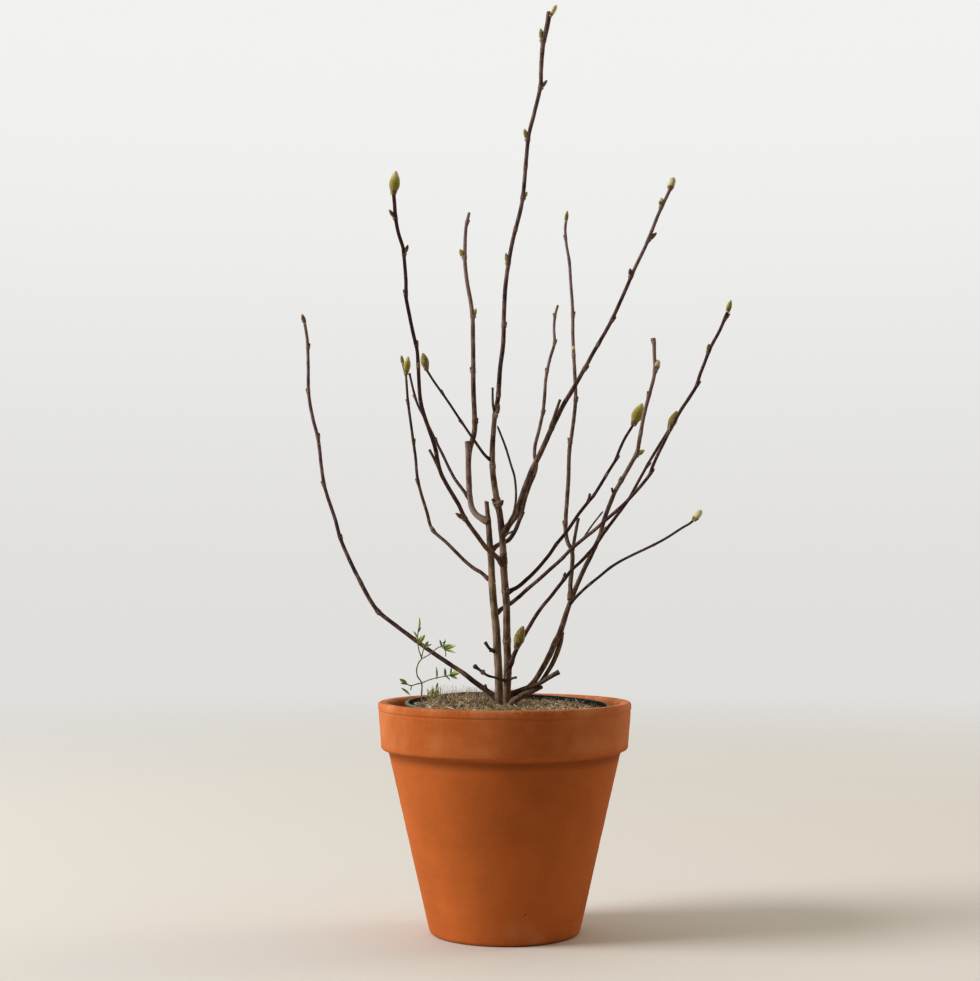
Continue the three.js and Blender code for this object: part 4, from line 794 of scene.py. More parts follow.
def growStem(pile, shoot, carrier, habit, seed):
    path, look, sides = shoot.path, stemLook, stemLook["sides"]
    end = habit.get("end", "round")
    burls = [(path.runAtRow(row), bulge, width * mm)
             for row, bulge, width in habit.get("burls", [])]
    runs = stemRuns(shoot, burls)
    centres = path.at(runs)
    headings = unit(np.gradient(centres, axis=0))
    across, over = sideFrames(headings)
    ways = spokes(across, over, circle(sides))
    base = shoot.radius(runs)
    size = np.repeat(base[:, None], sides, 1)
    woodiness, paleness, deadness, oliveness = (
        np.interp(runs / path.length, np.linspace(0, 1, len(marks)), marks)
        for marks in (habit.get(key, (0, 0)) for key in ("wood", "pale", "dead", "olive")))
    young = 1 - look["ringLoss"] * np.clip(woodiness, 0, 1)[:, None]  # old wood loses its rings
    leave = runOutOf(path, carrier) if carrier else 0
    if carrier:  # it swells where it leaves a thicker stem
        own = shoot.radius(leave)
        flare = habit.get("flare", look["flare"])
        size *= 1 + flare * bell(np.maximum(runs - leave, 0), look["flareReach"] * own)[:, None]
    ringMark, scarMark, budShadowMark, burlMark = (np.zeros_like(size) for _ in range(4))
    for site in shoot.sites:
        gap = (runs - site["run"])[:, None] / mm
        facing = np.clip((ways * site["out"]).sum(2), -1, 1)
        front = np.clip(facing, 0, 1) ** 2
        lift = site["bud"]
        size *= 1 + look["swell"] * (0.5 + 0.5 * lift) * bell(gap + 0.4, 3.2)
        size *= 1 + look["shelf"] * lift * bell(gap + 1.6, 1.7) * front
        ring = bell(gap + 1.0, 0.42) - 0.9 * bell(gap + 0.3, 0.4)
        size *= 1 + look["ringHeight"] * young * ring
        ringMark = np.maximum(ringMark, young * bell(gap + 0.95, 0.5) * (0.55 + 0.45 * front))
        scar = smooth(facing, 0.35, 0.75) * bell(gap + 2.3, 1.1) * lift
        scarMark = np.maximum(scarMark, scar)
        # painted shade: the bark under each bud, on the bud's side, is darkened where the bud's
        # shadow falls
        budShadowMark = np.maximum(budShadowMark, bell(gap - 1.5, 3.5) * front * lift)
    for i in range(len(runs)):
        for j, way in enumerate(ways[i]):
            lump = noise.noise(Vector(centres[i] * look["lumpScale"] + way * 0.8 + seed))
            ridge = noise.noise(Vector((way[0] * 3.1, way[1] * 3.1 + way[2] * 3.1,
                                        runs[i] * look["ridgeScale"] + seed)))
            size[i, j] *= 1 + look["lumps"] * lump + look["ridges"] * woodiness[i] * ridge
            for middle, bulge, width in burls:
                near = bell(runs[i] - middle, width)
                if near > 0.01:
                    knob = noise.noise(Vector(centres[i] * look["knobScale"] + way * 1.5 + seed))
                    size[i, j] *= 1 + bulge * near * (look["knobs"][0] + look["knobs"][1] * knob)
                    burlMark[i, j] = max(burlMark[i, j], near * min(1, 3 * bulge))
    loops = centres[:, None] + ways * size[..., None]
    left = path.length - runs
    if end in ("blunt", "cut", "slanted"):  # a slight swelling below the cut
        loops += ways * (size * look["cutSwell"] * bell(left, 2.2 * mm)[:, None])[..., None]
    if end == "slanted":  # the cut falls to the right
        slope = (ways * np.array([-0.75, 0.6, 0])).sum(2) * size * look["slope"]
        loops += headings[:, None] * (slope * bell(left, 5 * mm)[:, None])[..., None]
    rim = loops[-1] - centres[-1]
    tips = np.array([centres[-1] + headings[-1] * lift * base[-1] + rim * share
                     for lift, share in stemEnds[end]])
    bare = [1.0 * (end in ("cut", "slanted") and share < 0.9) for _, share in stemEnds[end]]

    def tail(values):
        return np.concatenate([values, np.repeat(values[-1:], len(tips), 0)])

    pile.loft(
        np.concatenate([loops, tips]), dead=tail(deadness), olive=tail(oliveness),
        burl=tail(burlMark), wood=tail(woodiness), pale=tail(paleness), ringScar=tail(ringMark),
        leafScar=tail(scarMark), budShade=tail(budShadowMark),
        cut=np.concatenate([np.zeros(len(runs)), bare]))


def barkFinish():
    n, look = newFinish("bark", stemLook)
    wood, pale = n.mark("wood"), n.mark("pale")
    streaks, patches = n.cloud(520, 4, (1, 1, 0.14)), n.cloud(75, 4)
    wide, fine = n.cloud(16, 2), n.cloud(1700, 3)
    grain = streaks * 0.5 + patches * 0.5
    oldBark = n.blend(streaks * 0.6 + patches * 0.4, 0.4, 0.6, look["oldDark"], look["old"])
    mossy = n.between(patches * 0.4 + wide * 0.6, 0.45, 0.65) * n.between(wood, 0.8, 1.05)
    oldBark = n.mix(mossy * 0.6, oldBark, look["moss"])
    smoothBark = n.blend(grain, 0.36, 0.6, look["oliveDark"], look["olive"])
    olive = n.mark("olive") + (wide - 0.5) * 1.2 + (patches - 0.5) * 0.6
    oldBark = n.blend(olive, 0.35, 0.9, oldBark, smoothBark, 0.9)
    youngSkin = n.blend(grain, 0.4, 0.62, look["youngDark"], look["young"])
    aged = wood + (patches - 0.5) * 0.9 + (wide - 0.5) * 0.7
    colour = n.blend(aged, 0.2, 0.85, youngSkin, oldBark)
    bleach = n.blend(wood, 0.3, 0.7, look["bleached"], look["dry"])
    faded = pale + (patches - 0.5) * 0.8 + (streaks - 0.5) * 0.5
    colour = n.blend(faded, 0.1, 1.0, colour, bleach, 0.85)
    lenticels = n.specks(420, 0.08, 0.24, "X", (0.5, 0.62), (1, 1, 0.5))
    colour = n.mix(lenticels * 0.8, colour, look["lenticel"])
    colour = n.blend(fine, 0.55, 0.8, colour, look["youngDark"], 0.3)
    # the first coat is the painted shade under each bud; the scars are real
    colour = n.paint(colour, look, [
        ("budShade", 0.45, "youngDark"), ("ringScar", 0.3 + fine * 0.6, "scar"),
        ("leafScar", 0.25 + fine * 0.5, "scar")])
    crust = n.blend(streaks * 0.5 + fine * 0.5, 0.52, 0.7, look["dead"], look["lichen"])
    colour = n.mix(n.mark("dead") * n.between(patches, 0.2, 0.5), colour, crust)
    knotty = n.mark("burl") * n.between(fine * 0.5 + patches * 0.5, 0.42, 0.62)
    colour = n.mix(knotty * 0.55, colour, look["scar"])
    face = n.blend(patches + (fine - 0.5) * 0.6, 0.4, 0.62, look["cutRim"], look["cutWood"])
    colour = n.blend(n.mark("cut"), 0.1, 0.6, colour, face)
    relief = streaks * 0.55 + fine * 0.2 + lenticels * 0.3 + patches * 0.3
    return n.surface(colour, n.between(wood, -0.5, 1.2) * 0.3 + 0.48, relief, 0.75, 0.3)


def budFinish(name):
    n, look = newFinish(name, budLook)
    along, fresh, straw = n.mark("along"), n.mark("fresh"), n.mark("straw")
    streaks, patches = n.cloud(900, 3, (1, 1, 0.2)), n.cloud(190, 3)
    mottle = (patches - 0.5) * 0.7 + (streaks - 0.5) * 0.25
    green = n.blend(along + mottle, 0.1, 0.6, look["olive"], look["green"])
    green = n.blend(along + mottle + straw * 0.5, 0.6, 1.2, green, look["lightGreen"], 0.8)
    brown = n.blend(streaks * 0.6 + patches * 0.4, 0.4, 0.6, look["darkBrown"], look["brown"])
    green = n.blend(n.cloud(95, 2), 0.5, 0.68, green, look["olive"], 0.6)
    colour = n.blend(fresh + mottle * 0.6, 0.2, 0.65, brown, green)
    low = 1 - n.between(along + mottle * 0.25, 0.1, 0.3)
    colour = n.mix(low * 0.85, colour, brown)
    tip = n.mix(n.mark("silk"), look["straw"], look["silk"])
    colour = n.blend(along * 0.75 + straw + mottle * 0.5, 0.75, 1.35, colour, tip, 0.9)
    colour = n.blend(streaks, 0.55, 0.8, colour, look["grey"], 0.15)
    colour = n.paint(colour, look, [
        ("seam", 0.5, "darkBrown"), ("husk", 0.7 + 0.4 * patches, "husk"),
        ("rim", 0.85, "ring"), ("hair", 0.45, "hair")])
    return n.surface(colour, 0.62 + streaks * 0.3, streaks + patches * 0.5, 0.3, 0.22, {
        "Sheen Weight": budLook["sheen"], "Sheen Roughness": 0.5,
        "Sheen Tint": budLook["sheenTint"]})


def growBud(pile, shape, foot, axis, length, radius, out, seed, tint=None):
    look, rng = budLook, np.random.default_rng(seed)
    plain = (0.3 * rng.random() * (shape == "leaf"), 0.1)
    fresh, straw, silk = (*(tint or plain), 0)[:3]
    axis = unit(axis)
    across = unit(out - axis * np.dot(out, axis))
    over = np.cross(axis, across)
    t = np.linspace(0, 1, look["rows"]) ** look["rowEase"]
    profile = np.array(budProfiles[shape])
    width = np.interp(t, profile[:, 0], profile[:, 1])
    width[1:-1] = (width[:-2] + 2 * width[1:-1] + width[2:]) / 4
    angles = circle(look["sides"])
    bend = rng.uniform(*look["bend"]) * length * (1 if shape == "flower" else 0.6)
    centres = foot + axis * (t * length)[:, None] - across * (bend * t ** 2)[:, None]
    ways = spokes(across, over, angles)[None]
    size = np.repeat((width * radius)[:, None], look["sides"], 1)
    seamAt = rng.uniform(-0.6, 0.6) + (1.25 if shape == "flower" else 0.4)
    twist = look["seamTwist"] * t[:, None]
    seam = np.zeros_like(size)
    for turn in look["seams"].get(shape, look["twoSeams"]):
        gap = (angles[None] - seamAt - twist - turn + math.pi) % (2 * math.pi) - math.pi
        strength = 1 if turn == 0 else 0.6
        seam = np.maximum(seam, strength * bell(gap, look["seamWidth"]))
        lip = smooth(gap, -0.1, 0.15) * (1 - smooth(gap, 0.2, 1.6))
        size *= 1 + look["seamLip"] * strength * lip
    seam *= smooth(t, 0.12, 0.35)[:, None] * (1 - smooth(t, 0.9, 1.0))[:, None]
    size *= 1 - look["seamDepth"] * seam
    size *= 1 + 0.02 * np.sin(3 * angles[None] + seed) + 0.01 * np.sin(9 * t[:, None] + seed)
    collar = bell(t - 0.03, 0.03 if shape == "flower" else 0.055)
    size *= 1 + look["collar"] * collar[:, None] * (shape != "nub")
    loops = centres[:, None] + ways * size[..., None]
    rim = collar * (0.95 if shape != "nub" else 0.35)
    paling = (0, 0.5) if shape in ("opening", "leader") else (0.1, 0.8)
    pile.loft(loops, along=t, fresh=fresh, straw=straw * smooth(t, *paling), seam=seam * 0.7,
              rim=rim, husk=0.0, hair=0.0, silk=silk)
    if shape in ("flower", "opening"):
        for turn, reach, spread in look["husks"]:
            reach *= 1 if shape == "flower" else 1.5
            growHusk(pile, centres, t, ways[0], width * radius, turn + seed, reach, spread)
    count = look["hairs"][shape]
    if not count:
        return
    row = rng.integers(1, len(t) - 2, count)
    side = rng.integers(0, look["sides"], count)
    share = rng.random((count, 1))
    root = loops[row, side] * (1 - share) + loops[row + 1, side] * share
    outward = unit(root - centres[row])
    way = unit(axis + outward * rng.uniform(*look["hairLean"], (count, 1))
               + rng.normal(0, look["hairSpread"], (count, 3)))
    long = look["hairLength"][shape] * mm * rng.uniform(0.6, 1.2, (count, 1))[:, None]
    steps = np.linspace(0, 1, len(look["hairTaper"]))[None, :, None]
    points = (root[:, None] + way[:, None] * (long * steps)
              - outward[:, None] * (look["hairDroop"] * long * steps ** 2))
    taper = np.array(look["hairTaper"]) * mm * np.ones((count, 1))
    pile.ribbons(points, taper, unit(np.cross(way, outward)), along=t[row][:, None],
                 fresh=fresh, straw=straw, silk=silk,
                 hair=0.5 + 0.5 * rng.random((count, 1)))


# one of the small brown scales that hold a flower bud's foot
def growHusk(pile, centres, t, ways, size, turn, reach, spread):
    look = budLook
    rows, columns = np.linspace(0, reach, look["huskRows"]), look["huskColumns"]
    angles = np.append(circle(len(ways)), 2 * math.pi)
    spots = np.stack([np.interp(rows, t, centres[:, i]) for i in range(3)], -1)
    radius = np.interp(rows, t, size)
    half = spread * np.sqrt(np.clip(1 - (rows / reach) ** 2.2, 0.003, 1))
    loops = []
    for spot, width, opening in zip(spots, radius, half):
        across = np.linspace(-opening, opening, columns)
        angle = np.concatenate([across, across[::-1]]) + turn
        lift = np.concatenate([look["huskLift"] * np.cos(across / spread * 1.4),
                               look["huskSink"] * np.ones(columns)])
        way = np.stack([np.interp(angle % (2 * math.pi), angles,
                                  np.append(ways[:, i], ways[0, i])) for i in range(3)], -1)
        loops.append(spot + unit(way) * (width + lift * mm)[:, None])
    edge = np.concatenate([np.abs(np.linspace(-1, 1, columns)), np.zeros(columns)]) ** 6
    pile.loft(np.array(loops), along=rows, husk=1.0, rim=np.maximum(
        edge[None] * 0.5, (rows / reach)[:, None] ** 8 * 0.8))


def growShrub():
    grown = {name: Shoot(plan["route"], plan["radii"]) for name, plan in shoots.items()}
    sites = {name: grown[row[0]].site(row[1], row[2], 1.0) for name, row in sideBuds.items()}
    nubs = []
    for name, plan in shoots.items():
        for row, turn, length, radius in plan.get("nubs", []):
            nubs.append((grown[name], grown[name].site(row, turn, 0.6), length, radius))
        for row in plan.get("rings", []):
            grown[name].site(row, 90, 0.0)
    bark = barkFinish()
    for pieceName, members in stemGroups.items():
        pile = Pile()
        for name in members:
            plan, shoot, seed = shoots[name], grown[name], 3.7 * list(shoots).index(name)
            growStem(pile, shoot, grown.get(plan.get("on")), plan, seed)
            for i, stub in enumerate(plan.get("stubs", [])):
                piece = Shoot(stub["route"], stub["radii"])
                along = shoot.path.runAtRow(rowOf(piece.path.points[:1])[0]) / shoot.path.length
                tone = np.interp(along, np.linspace(0, 1, len(plan["wood"])), plan["wood"])
                last = stub["radii"][-1]
                end = "cut" if last > 2 else "blunt" if last > 1.15 else "dry"
                growStem(pile, piece, shoot, {
                    "wood": (max(tone, 0.7), 0.95), "pale": (0.1, 0.3), "end": end,
                    "dead": (0.3, 0.3, 0.6, 1), "flare": 0.15, **stub}, seed + 1.3 * i + 0.7)
        pile.piece(pieceName, bark, "bark", members)
    print("stems grown")
    piles = {True: Pile(), False: Pile()}  # of furry buds, and of woody ones

    def shapeOf(name):
        first = name.split("_")[0]
        return first if first in budProfiles else "leaf"

    def isFurry(name):
        return shapeOf(name) in ("flower", "opening")

    def growOn(name, shape, shoot, site, length, radius, lean, sunk, seed, tint=None):
        foot = (shoot.path.at(site["run"])
                + site["out"] * (shoot.radius(site["run"]) - sunk * radius * mm))
        growBud(piles[isFurry(name)], shape, foot, site["heading"] + lean * site["out"],
                length * mm, radius * mm, -site["out"], seed, tint)

    front, sunk = np.array([0, -1.0, 0.1]), 0.8 * mm
    for seed, (name, (radius, foot, tip, *tint)) in enumerate(endBuds.items()):
        foot, tip = place(*foot), place(*tip)
        growBud(piles[isFurry(name)], shapeOf(name), foot - unit(tip - foot) * sunk, tip - foot,
                np.linalg.norm(tip - foot) + sunk, radius * mm, front, seed, *tint)
    for seed, (name, (on, _, _, length, radius, lean, *tint)) in enumerate(sideBuds.items()):
        growOn(name, shapeOf(name), grown[on], sites[name], length, radius, lean, 0.2, 50 + seed,
               *tint)
    for seed, (shoot, site, length, radius) in enumerate(nubs):
        growOn("nub", "nub", shoot, site, length, radius, 0.4, 0.45, 100 + seed)
    names = [*endBuds, *sideBuds]
    piles[True].piece("flowerBuds", budFinish("furryBud"), "furry_bud",
                      [name for name in names if isFurry(name)])
    piles[False].piece("leafBuds", budFinish("leafBud"), "leaf_bud",
                       [name for name in names if not isFurry(name)])
    print("buds grown")


growShrub()


# ---- pots
def turned(profile, sides=240):  # (radius, height) in mm, turned about the axis
    angles = circle(sides)
    rows = [np.stack([r * np.cos(angles), r * np.sin(angles), np.full(sides, z)], -1)
            for r, z in profile]
    return np.array(rows) * mm


def eased(corners, step=3.0):  # (radius, height, rounding) corners, as a fine outline
    count, outline = len(corners), []
    points = np.array([c[:2] for c in corners], float)
    for i, (_, _, rounding) in enumerate(corners):
        before, here, after = points[i - 1], points[i], points[(i + 1) % count]
        toBefore, toAfter = unit(before - here), unit(after - here)
        reach = min(rounding, 0.48 * np.linalg.norm(before - here),
                    0.48 * np.linalg.norm(after - here))
        start, stop = here + toBefore * reach, here + toAfter * reach
        for t in ([0.5] if reach < 0.05 else np.linspace(0, 1, 7)):
            outline.append((1 - t) ** 2 * start + 2 * t * (1 - t) * here + t * t * stop)
    fine = [outline[0]]
    for point in outline[1:]:
        origin = fine[-1]
        parts = max(1, int(np.linalg.norm(point - origin) / step))
        fine += [origin + (point - origin) * k / parts for k in range(1, parts + 1)]
    return fine


clay = {
    "rim": 140, "height": 253, "foot": 82.5, "band": 137.6, "bandFoot": 203, "neck": 127.4,
    "neckHeight": 195, "wall": 9.5, "floor": 13, "drain": 11, "sides": 300,
    "wobble": 0.35, "ridges": 0.2,
    "main": "#bb6d35", "light": "#c8814b", "deep": "#a75f2a", "bloomAndSheen": "#d8ab8a",
    # the last of these colours is painted shade, for the band under the collar
    "pit": "#4b2a14", "underCollarShade": "#6d3812",
}


def clayFinish():
    n, look = newFinish("terracotta", clay)
    height = n.part(n.spot(), "Z")
    wide, patch = n.cloud(5, 3), n.cloud(34, 4, roughness=0.55)
    bands, grain, speck = n.cloud(12, 3, (0.3, 0.3, 9)), n.cloud(1300, 3), n.cloud(420, 2)
    colour = n.blend(wide * 0.75 + patch * 0.25, 0.34, 0.66, look["deep"], look["main"])
    colour = n.blend(speck * 0.6 + grain * 0.4, 0.5, 0.75, colour, look["light"], 0.35)
    colour = n.blend(bands, 0.55, 0.75, colour, look["deep"], 0.16)
    # pale bloom near the foot and on the rim top is weathering; the pale bloom on the collar is
    # partly weathering and partly a painted sheen
    low = (1 - n.between(height, 0.0, 0.05)) * n.between(patch, 0.5, 0.75)
    high = n.between(height, 0.243, 0.252) * n.between(patch + (speck - 0.5) * 0.5, 0.4, 0.65)
    collar = n.between(height, 0.2, 0.212) * n.between(wide + (patch - 0.5) * 0.4, 0.3, 0.6)
    colour = n.mix(low * 0.2 + high * 0.2 + collar * 0.16, colour, look["bloomAndSheen"])
    # painted shade: the body just under the collar's overhang is darkened, where the collar's
    # shadow falls
    neck = n.between(height, 0.186, 0.1955) * (1 - n.between(height, 0.1965, 0.2))
    colour = n.mix(neck * (0.3 + 0.3 * patch), colour, look["underCollarShade"])
    pit = n.specks(46, 0.02, 0.055, "X", (0.8, 0.82))
    small = n.specks(240, 0.05, 0.13, "Y", (0.9, 0.92))
    colour = n.mix(pit * 0.85 + small * 0.3, colour, look["pit"])
    relief = grain * 0.08 + speck * 0.1 + bands * 0.45 - pit * 0.9 - small * 0.2
    return n.surface(colour, 0.8 + (patch - 0.5) * 0.15, relief, 0.8, 0.18)


def makeClayPot():
    c = clay
    innerFoot, innerRim = c["foot"] - c["wall"] + 1.5, c["rim"] - c["wall"] - 2
    corners = [
        (c["drain"], 0, 1.5), (c["foot"], 0, 5), (c["neck"], c["neckHeight"], 1.5),
        (c["neck"] + 2, c["neckHeight"] + 4.5, 2.5), (c["band"] - 1.5, c["bandFoot"] - 1.5, 2.8),
        (c["rim"] - 0.55, c["height"] - 11, 1.6), (c["rim"] - 1.1, c["height"] - 9.4, 1.2),
        (c["rim"], c["height"] - 8, 1.2), (c["rim"], c["height"], 5.5),
        (innerRim, c["height"] - 0.6, 4), (innerRim - 3, c["bandFoot"] + 6, 8),
        (c["neck"] - c["wall"], c["neckHeight"] - 2, 8), (innerFoot, c["floor"], 6),
        (c["drain"], c["floor"], 1.5),
    ]
    loops = turned(eased(corners), c["sides"])
    outward = unit(loops * np.array([1, 1, 0]))
    for row, ways in zip(loops, outward):
        for spot, way in zip(row, ways):
            x, y, z = spot
            wobble = noise.noise(Vector((x * 9, y * 9, z * 5))) * c["wobble"]
            ridge = noise.noise(Vector((x * 3, y * 3, z * 110))) * c["ridges"]
            if 2 * mm < z < 251 * mm and math.hypot(x, y) > 0.05:
                spot += way * (wobble + ridge) * mm
    pile = Pile()
    pile.loft(loops[:, ::-1], ring=True)
    pile.piece("clayPot", clayFinish(), "terracotta", ["clay_pot"])


makeClayPot()

grower = {
    "rim": 113.5, "foot": 87.2, "height": 180, "wall": 1.8, "lip": 3, "sides": 220,
    "lean": math.radians(1.6), "tip": math.radians(1), "seat": 0.3, "wave": 0.0035,
    "bow": 2.1, "bowTurn": 1.95, "bowWidth": 0.42,
    "black": "#110d0a", "worn": "#1f1a15", "dust": "#3b362f", "rimWearAndHighlight": "#85897a",
}
ground = {"below": 14, "thickness": 9, "mound": 4, "clearance": 0.6, "clods": (1.2, 0.9),
          "soil": "#4a382a", "soilDark": "#261b13", "grit": "#8c8273"}


def growerFloor():  # where the leaning pot jams in the clay pot's taper
    slope = ((clay["neck"] - clay["foot"] - 1.5) / (clay["neckHeight"] - 2 - clay["floor"]))
    drop = grower["foot"] * math.hypot(grower["lean"], grower["tip"])
    gap = grower["seat"] + slope * drop + 0.3
    return clay["floor"] + (grower["foot"] + gap - (clay["foot"] - clay["wall"] + 1.5)) / slope


def inGrower(points):  # from the leaning pot's own frame, in metres
    lean, tip = grower["lean"], grower["tip"]
    aboutX = np.array([[1, 0, 0], [0, math.cos(lean), -math.sin(lean)],
                       [0, math.sin(lean), math.cos(lean)]])
    aboutY = np.array([[math.cos(tip), 0, math.sin(tip)], [0, 1, 0],
                       [-math.sin(tip), 0, math.cos(tip)]])
    return points @ (aboutX @ aboutY).T + np.array([0, 0, growerFloor() * mm])


soilTop = grower["height"] - ground["below"]


def innerRadius(height):
    return (grower["foot"] - grower["wall"] - ground["clearance"]
            + (grower["rim"] - grower["lip"] - grower["foot"]) * height / grower["height"])


def plasticFinish():
    n, look = newFinish("blackPlastic", grower)
    scuffs, dusty, fine = n.cloud(120, 4, (1, 1, 3)), n.cloud(45, 4), n.cloud(900, 2)
    up = n.part(n.make("ShaderNodeNewGeometry", output="Normal"), "Z")
    colour = n.blend(scuffs, 0.5, 0.75, look["black"], look["worn"], 0.7)
    dust = n.between(dusty + fine * 0.3 + up * 0.25, 0.68, 1.1)
    colour = n.mix(dust * 0.6, colour, look["dust"])
    # paler grey-green on upward faces is partly wear and partly painted highlight; on the lip it is
    # painted highlight
    worn = n.between(up + (dusty - 0.5) * 0.6, 0.75, 0.95) * 0.7 + n.mark("lip") * 0.6
    colour = n.mix(worn * (0.6 + 0.5 * fine), colour, look["rimWearAndHighlight"])
    return n.surface(colour, 0.68 + dust * 0.25, fine * 0.4 + scuffs * 0.6, 0.15, 0.18)


def makeGrowerPot():
    g = grower
    inner = g["rim"] - g["lip"] - g["wall"]
    corners = [
        (0.4, 0, 0), (g["foot"], 0, 4), (g["rim"] - g["lip"] + 0.2, g["height"] - 5.4, 0.8),
        (g["rim"], g["height"] - 5, 0.8), (g["rim"], g["height"], 1.1),
        (inner + 0.6, g["height"], 1.0), (inner, g["height"] - 5, 1.5),
        (g["foot"] - g["wall"], g["wall"], 4), (0.4, g["wall"], 0),
    ]
    loops = turned(eased(corners, 5), g["sides"])
    turn = circle(g["sides"])
    # painted highlight: its lip is paler grey-green on the side the key light comes from
    lip = (smooth(loops[..., 2], 178 * mm, 179.2 * mm) * smooth(-np.cos(turn), 0.3, 0.95)
           * smooth(np.hypot(loops[..., 0], loops[..., 1]) / mm, g["rim"] - 1.6, g["rim"] - 0.6))
    near = smooth(loops[..., 2], 150 * mm, 179 * mm)  # the thin rim isn't quite round
    loops[..., :2] *= (1 + g["wave"] * near * np.sin(3 * turn + 1.0)[None])[..., None]
    # and bows up at the back left
    loops[..., 2] += g["bow"] * mm * near * bell(turn - g["bowTurn"], g["bowWidth"])
    pile = Pile()
    pile.loft(inGrower(loops)[:, ::-1], ring=True, lip=lip[:, ::-1])
    pile.piece("blackPot", plasticFinish(), "black_plastic", ["grower_pot"])


makeGrowerPot()


def soilFinish():
    n, look = newFinish("soil", ground)
    clods, fine = n.cloud(170, 5, roughness=0.65), n.cloud(700, 4)
    colour = n.blend(clods, 0.35, 0.65, look["soilDark"], look["soil"])
    grit = n.specks(340, 0.1, 0.3, "X", (0.86, 0.9))
    colour = n.mix(grit * 0.8, colour, look["grit"])
    return n.surface(colour, 0.95, clods + fine * 0.4 + grit * 0.3, 2.5, 0.15)


def makeSoil():
    floor = grower["wall"] + grower["seat"]
    outline = [(0.3, floor), (innerRadius(0) - 4, floor), (innerRadius(4), floor + 4)]
    outline += [(innerRadius(z), z) for z in np.linspace(12, soilTop - 1, 14)]
    outline += [(r, soilTop) for r in np.linspace(innerRadius(soilTop) - 1, 0.3, 70)]
    loops = turned(outline, 200)
    top = loops[..., 2] > (soilTop - 0.5) * mm
    for i, j in zip(*np.nonzero(top)):
        spot = Vector(loops[i, j])
        large, small = (noise.noise(spot * scale) for scale in (60, 210))
        rough = large * ground["clods"][0] + small * ground["clods"][1]
        loops[i, j, 2] += (rough - 0.9) * mm
    pile = Pile()
    pile.loft(inGrower(loops)[:, ::-1], closed=False)
    pile.piece("pottingSoil", soilFinish(), "soil", ["potting_soil"])


makeSoil()

# ---- the mat of dead grass
thatch = {
    "seed": 11, "limit": 104.6, "sides": 220,
    "straw": "#d8c6a4", "tan": "#ab8d69", "olive": "#94864f", "brown": "#6b523c",
    "grey": "#c3b9a9", "dark": "#2c1f14", "green": "#8a8c48",
    "heapAt": (-0.52, 0.12), "heapFall": 1.5, "leftRise": 3, "rightRise": 1.6, "waves": 0.8,
    "tufts": 1.5, "edgeDrop": 1.2, "sunken": 2.2, "roughness": 1.3,
    "bladeTaper": (0.6, 1, 0.95, 0.8, 0.5, 0.1), "curl": 0.9, "bladeFoot": 1.2,
    "tones": {"dark": 0.0, "brown": 0.16, "tan": 0.34, "straw": 0.52, "grey": 0.66,
              "olive": 0.8, "green": 1.0},
    # length, rise and width in mm; upright is the share that stands
    "layers": [
        {"count": 10500, "length": (9, 32), "rise": (0.8, 5.2), "width": (0.15, 0.48),
         "thinning": 2, "upright": 0},
        {"count": 4200, "length": (7, 20), "rise": (3, 9), "width": (0.12, 0.24), "upright": 0.7},
        # the few coarse pale strands that catch the light
        {"count": 900, "length": (12, 34), "rise": (3, 7), "width": (0.34, 0.55),
         "tone": (0.56, 0.06), "upright": 0},
        # pale hairs stand at the back left
        {"count": 900, "length": (10, 26), "rise": (7, 21), "width": (0.1, 0.17),
         "tone": (0.6, 0.05), "upright": 1, "spread": 0.5, "centre": (-42, 46)},
    ],
}


def matHeight(x, y):  # top of the mat in the leaning pot's frame, in mm
    g, radius = thatch, innerRadius(soilTop)
    u, v = x / radius, y / radius
    edge = np.hypot(u, v)
    heap = np.maximum(0, 1 - g["heapFall"] * np.hypot(u - g["heapAt"][0], v - g["heapAt"][1]))
    tussock = (np.sin(0.37 * x + 1.7 * np.sin(0.19 * y)) * np.cos(0.33 * y + 1.4 * np.sin(0.23 * x))
               + 0.6 * np.sin(0.71 * x + 0.5 * y) * np.cos(0.63 * y - 0.4 * x))
    return (soilTop + grower["seat"] + ground["thickness"] - g["sunken"] + ground["mound"] * heap
            + g["leftRise"] * np.maximum(0, -u - 0.35) + g["rightRise"] * np.maximum(0, u - 0.2)
            + g["waves"] * np.sin(5 * u) * np.cos(4 * v)
            + g["tufts"] * tussock * (1 - smooth(edge, 0.7, 0.95))
            - g["edgeDrop"] * smooth(edge, 0.85, 1))


def grassFinish():
    n, look = newFinish("dryGrass", thatch)
    tone = n.mark("tone") + (n.cloud(240, 3) - 0.5) * 0.16
    colour = n.ramp(tone, [(spot, look[name]) for name, spot in thatch["tones"].items()])
    fibres = n.cloud(1300, 2, (1, 1, 0.4))
    colour = n.blend(fibres, 0.5, 0.8, colour, look["brown"], 0.35)
    colour = n.blend(n.cloud(85, 3), 0.5, 0.64, colour, look["dark"], 0.6)
    return n.surface(colour, 0.82, fibres, 0.2, 0.2)


